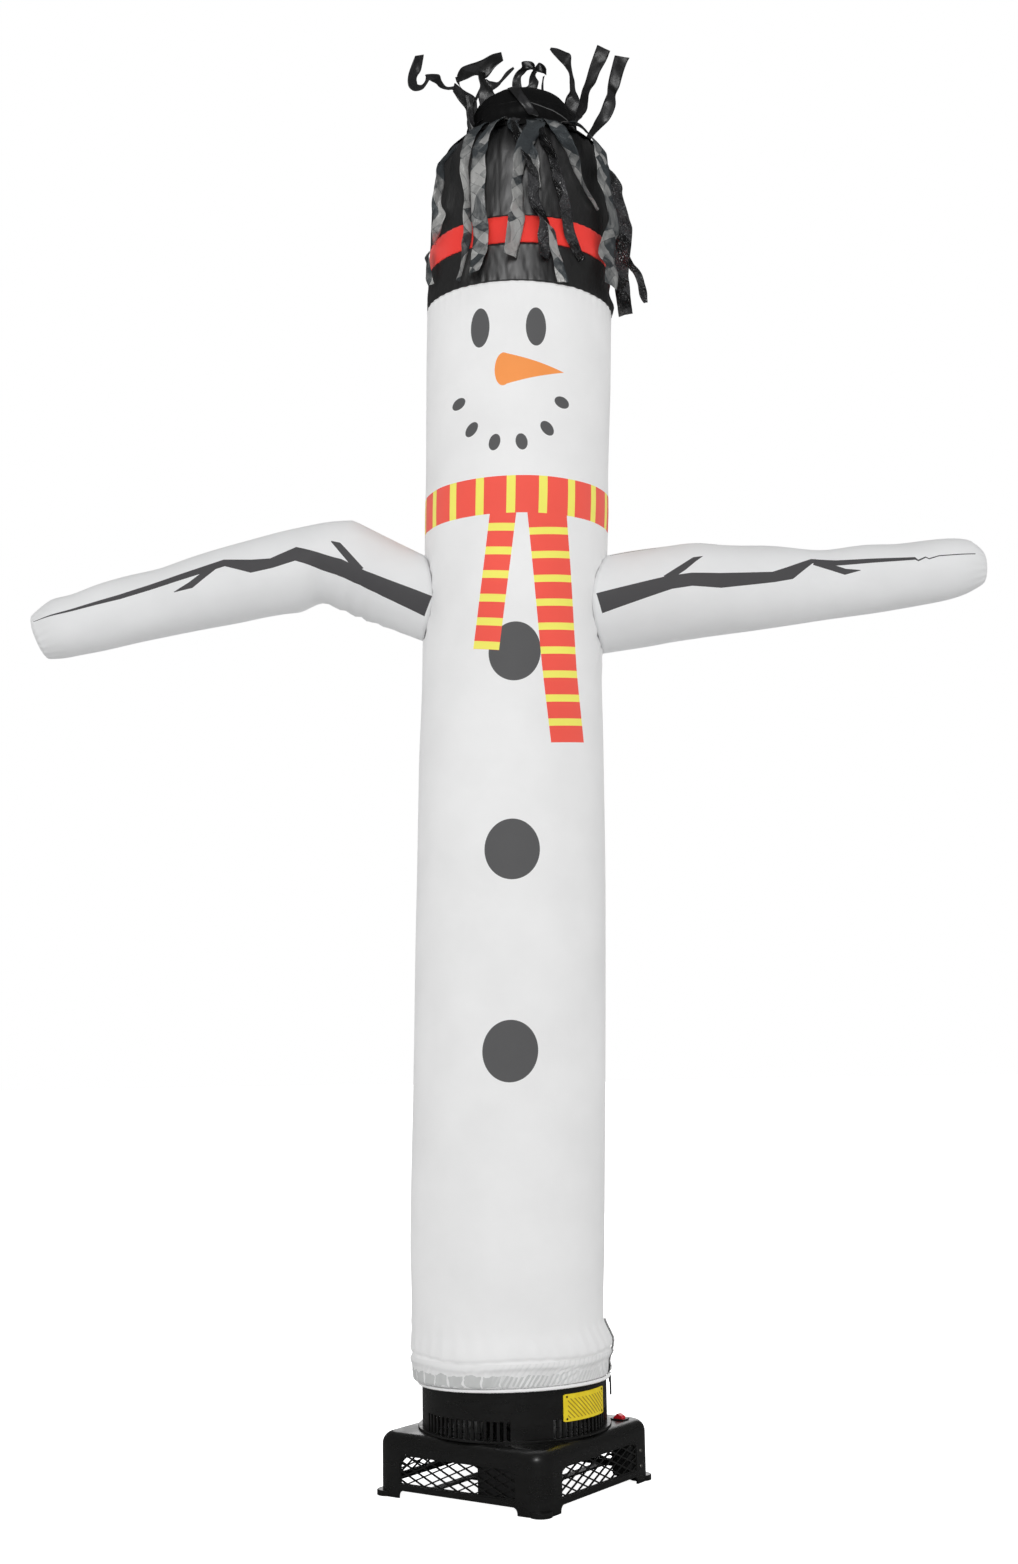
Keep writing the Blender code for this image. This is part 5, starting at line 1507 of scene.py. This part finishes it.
def make_drum(plastic):
    """The outlet's ring with its foot flange, upright slots and rolled top edge."""
    marks = drum_angles()
    inner, low, flange = DRUM_RADIUS - DRUM_WALL, DECK_Z + 0.0003, DRUM_RADIUS + FLANGE_OUT
    outside = ((inner, low), (flange, low), (flange, low + 0.0022), (flange - 0.0008, low + FLANGE_HIGH),
               (DRUM_RADIUS, low + FLANGE_HIGH), (DRUM_RADIUS, SLOT_HIGH_Z),
               (DRUM_RADIUS, DRUM_TOP_Z - 0.001), (DRUM_RADIUS - 0.001, DRUM_TOP_Z),
               (inner, DRUM_TOP_Z), (inner, SLOT_HIGH_Z), (inner, low + FLANGE_HIGH))
    walls = {4, 9}  # the spans that the slots pass through
    shape = bmesh.new()
    rings = [[shape.verts.new((r * cos(a), r * sin(a), z)) for a, _ in marks] for r, z in outside]
    for k, (ring, after) in enumerate(zip(rings, rings[1:] + rings[:1])):
        for i, (_, is_slot) in enumerate(marks):
            if not (is_slot and k in walls):
                j = (i + 1) % len(marks)
                shape.faces.new((ring[i], ring[j], after[j], after[i]))
    for i, (_, is_slot) in enumerate(marks):
        j = (i + 1) % len(marks)
        if is_slot:
            for a, b in ((4, 10), (5, 9)):
                shape.faces.new((rings[a][i], rings[a][j], rings[b][j], rings[b][i]))
        if is_slot != marks[i - 1][1]:
            shape.faces.new((rings[4][i], rings[5][i], rings[9][i], rings[10][i]))
    finish_piece(solid_object("outlet_ring", shape, 35), plastic, ["blower_drum"])


def make_inner_parts(plastic):
    """What darkens the windows and slots: the fan's ribbed back plate on the motor, and
    dark boxes behind the front corner and below the switch."""
    fan = bmesh.new()
    rings = []
    for radius, z in FAN_ROWS:
        on_top = 0.05 < radius and z > 0.083
        rings.append([Vector((radius * cos(a), radius * sin(a),
                              z - 0.0006 * (on_top and fold(24 * a / (2 * pi)) > 0.4)))
                      for a in circle(96)])
    add_loft(fan, rings, closed=True)
    finish_piece(solid_object("fan_plate", fan, 30), plastic)
    boxes = bmesh.new()
    for low, high in DARK_INNER_BOXES:
        centre = [(a + b) / 2 for a, b in zip(low, high)]
        add_rounded_box(boxes, centre, [b - a for a, b in zip(low, high)], 0.004)
    finish_piece(solid_object("dark_inner_boxes", boxes, 30), plastic)


def plate_material():
    """Yellow paint with a faint slanting hatch in its middle."""
    material, tree, shader = new_material("plate_yellow")
    place = place_of(tree)
    mottle = blotch(place, 60.0, 4.0, 0.6)
    ground = mix_colour(mapped(mottle, 0.35, 0.7, 0, 1), srgb(236, 208, 14), srgb(246, 222, 26))
    x, y, z = parts(place)
    around = calc("MULTIPLY", calc("ARCTAN2", x, calc("MULTIPLY", y, -1.0)), DRUM_RADIUS)
    slanted = calc("MULTIPLY", calc("MULTIPLY_ADD", z, 1.1, around), 1 / 0.0078)
    hatch = calc("MULTIPLY", calc("COMPARE", calc("FRACT", slanted), 0.5, 0.17), 0.9)
    within = calc("MULTIPLY", between(z, 0.1215, 0.1500), between(around, 0.0835, 0.1690))
    dress(shader, Base_Color=mix_colour(calc("MULTIPLY", hatch, within), ground, srgb(160, 130, 4)),
          Roughness=mapped(mottle, 0.3, 0.7, 0.35, 0.5))
    return material


def make_plate():
    """A bare yellow plate, riveted to the drum at its corners."""
    shape = bmesh.new()
    low, count = DRUM_RADIUS + PLATE_BACK, 24
    rings = []
    for i in range(count + 1):
        angle = PLATE_FROM + (PLATE_TO - PLATE_FROM) * i / count
        edge = 0.0012 if i in (0, count) else 0.0
        bottom, top = PLATE_LOW + edge, PLATE_HIGH - edge
        rings.append([shape.verts.new(facing(angle, r, z)) for r, z in (
            (low, bottom), (low + PLATE_THICK, bottom), (low + PLATE_THICK, top), (low, top))])
    join_rings(shape, rings, flip=True, ends=True)
    bmesh.ops.recalc_face_normals(shape, faces=shape.faces)
    plate = mesh_object("plate_yellow", shape, 40)
    finish_piece(plate, plate_material(), ["drum_plate"])
    rivets = bmesh.new()
    for degrees in (33.0, 67.0):
        for z in (0.1210, 0.1530):
            angle = radians(degrees)
            add_dome(rivets, facing(angle, low + 0.0007, z), facing(angle), 0.0017, 0.0008)
    domes = mesh_object("plate_rivets", rivets)
    finish_piece(domes, metal_material("plate_rivets", (0.20, 0.10, 0.06, 1), 0.4))


def add_dome(shape, place, out, radius, high):
    """A low rounded head that faces out."""
    side = out.cross(Vector((0, 0, 1))).normalized()
    up = side.cross(out)
    rings = []
    for share, rise in ((1.0, 0.0), (0.97, 0.45), (0.75, 0.85), (0.4, 1.0)):
        middle = place + out * (high * rise)
        rings.append([shape.verts.new(middle + radius * share * (side * cos(a) + up * sin(a)))
                      for a in circle(16)])
    join_rings(shape, rings, flip=True, ends=True)


def make_rocker():
    """The rocker with its ridged top, standing proud of the bezel."""
    half, belly = 0.0082, arc((0, 0), 0.0055, radians(215), radians(325), 12)
    ridge = [(half, ROCKER_END), (0.0010, ROCKER_MIDDLE), (-0.0010, ROCKER_MIDDLE), (-half, ROCKER_END)]
    shape = bmesh.new()
    add_prism(shape, [(half, -0.001), *ridge, (-half, -0.001), *belly],
              lambda point, end: Vector((point[0], (-0.0051, 0.0051)[end], point[1])))
    shape.transform(Matrix.Translation(ROCKER_AXIS) @ Matrix.Rotation(-ROCKER_TILT, 4, "Y"))
    rocker = solid_object("rocker_cap", shape)
    bevel_edges(rocker, 0.0005)
    red = plastic_material("rocker_plastic", (0.70, 0.012, 0.024, 1), 0.22)
    finish_piece(rocker, red, ["switch_rocker"], body=ROCKER)


def dress_node(name, material):
    """A carried-over solid with a finer finish."""
    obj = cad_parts[name]
    for slot_of in obj.material_slots:
        slot_of.material = material


def make_blower():
    plastic = plastic_material("housing_plastic", (0.0052, 0.0052, 0.0048, 1), 0.27)
    make_housing(plastic)
    make_grilles(plastic)
    make_drum(plastic)
    make_plate()
    make_inner_parts(plastic_material("inner_plastic", (0.006, 0.006, 0.006, 1), 0.5))
    metal = plastic_material("motor_finish", (0.020, 0.020, 0.021, 1), 0.45)
    dress_node("motor_can", metal)
    dress_node("motor_cradle", metal)
    dress_node("switch_bezel", plastic_material("bezel_plastic", (0.016, 0.016, 0.016, 1), 0.3))
    make_rocker()
    steel = metal_material("screw_finish", (0.45, 0.44, 0.40, 1), 0.3)
    dress_node("screw_high", steel)
    dress_node("screw_low", steel)


add_camera()
add_lights()
make_body()
make_hem_roll()
make_zip_strip()
make_zip_pull()
make_arms()
make_hat()
make_streamers()
make_blower()
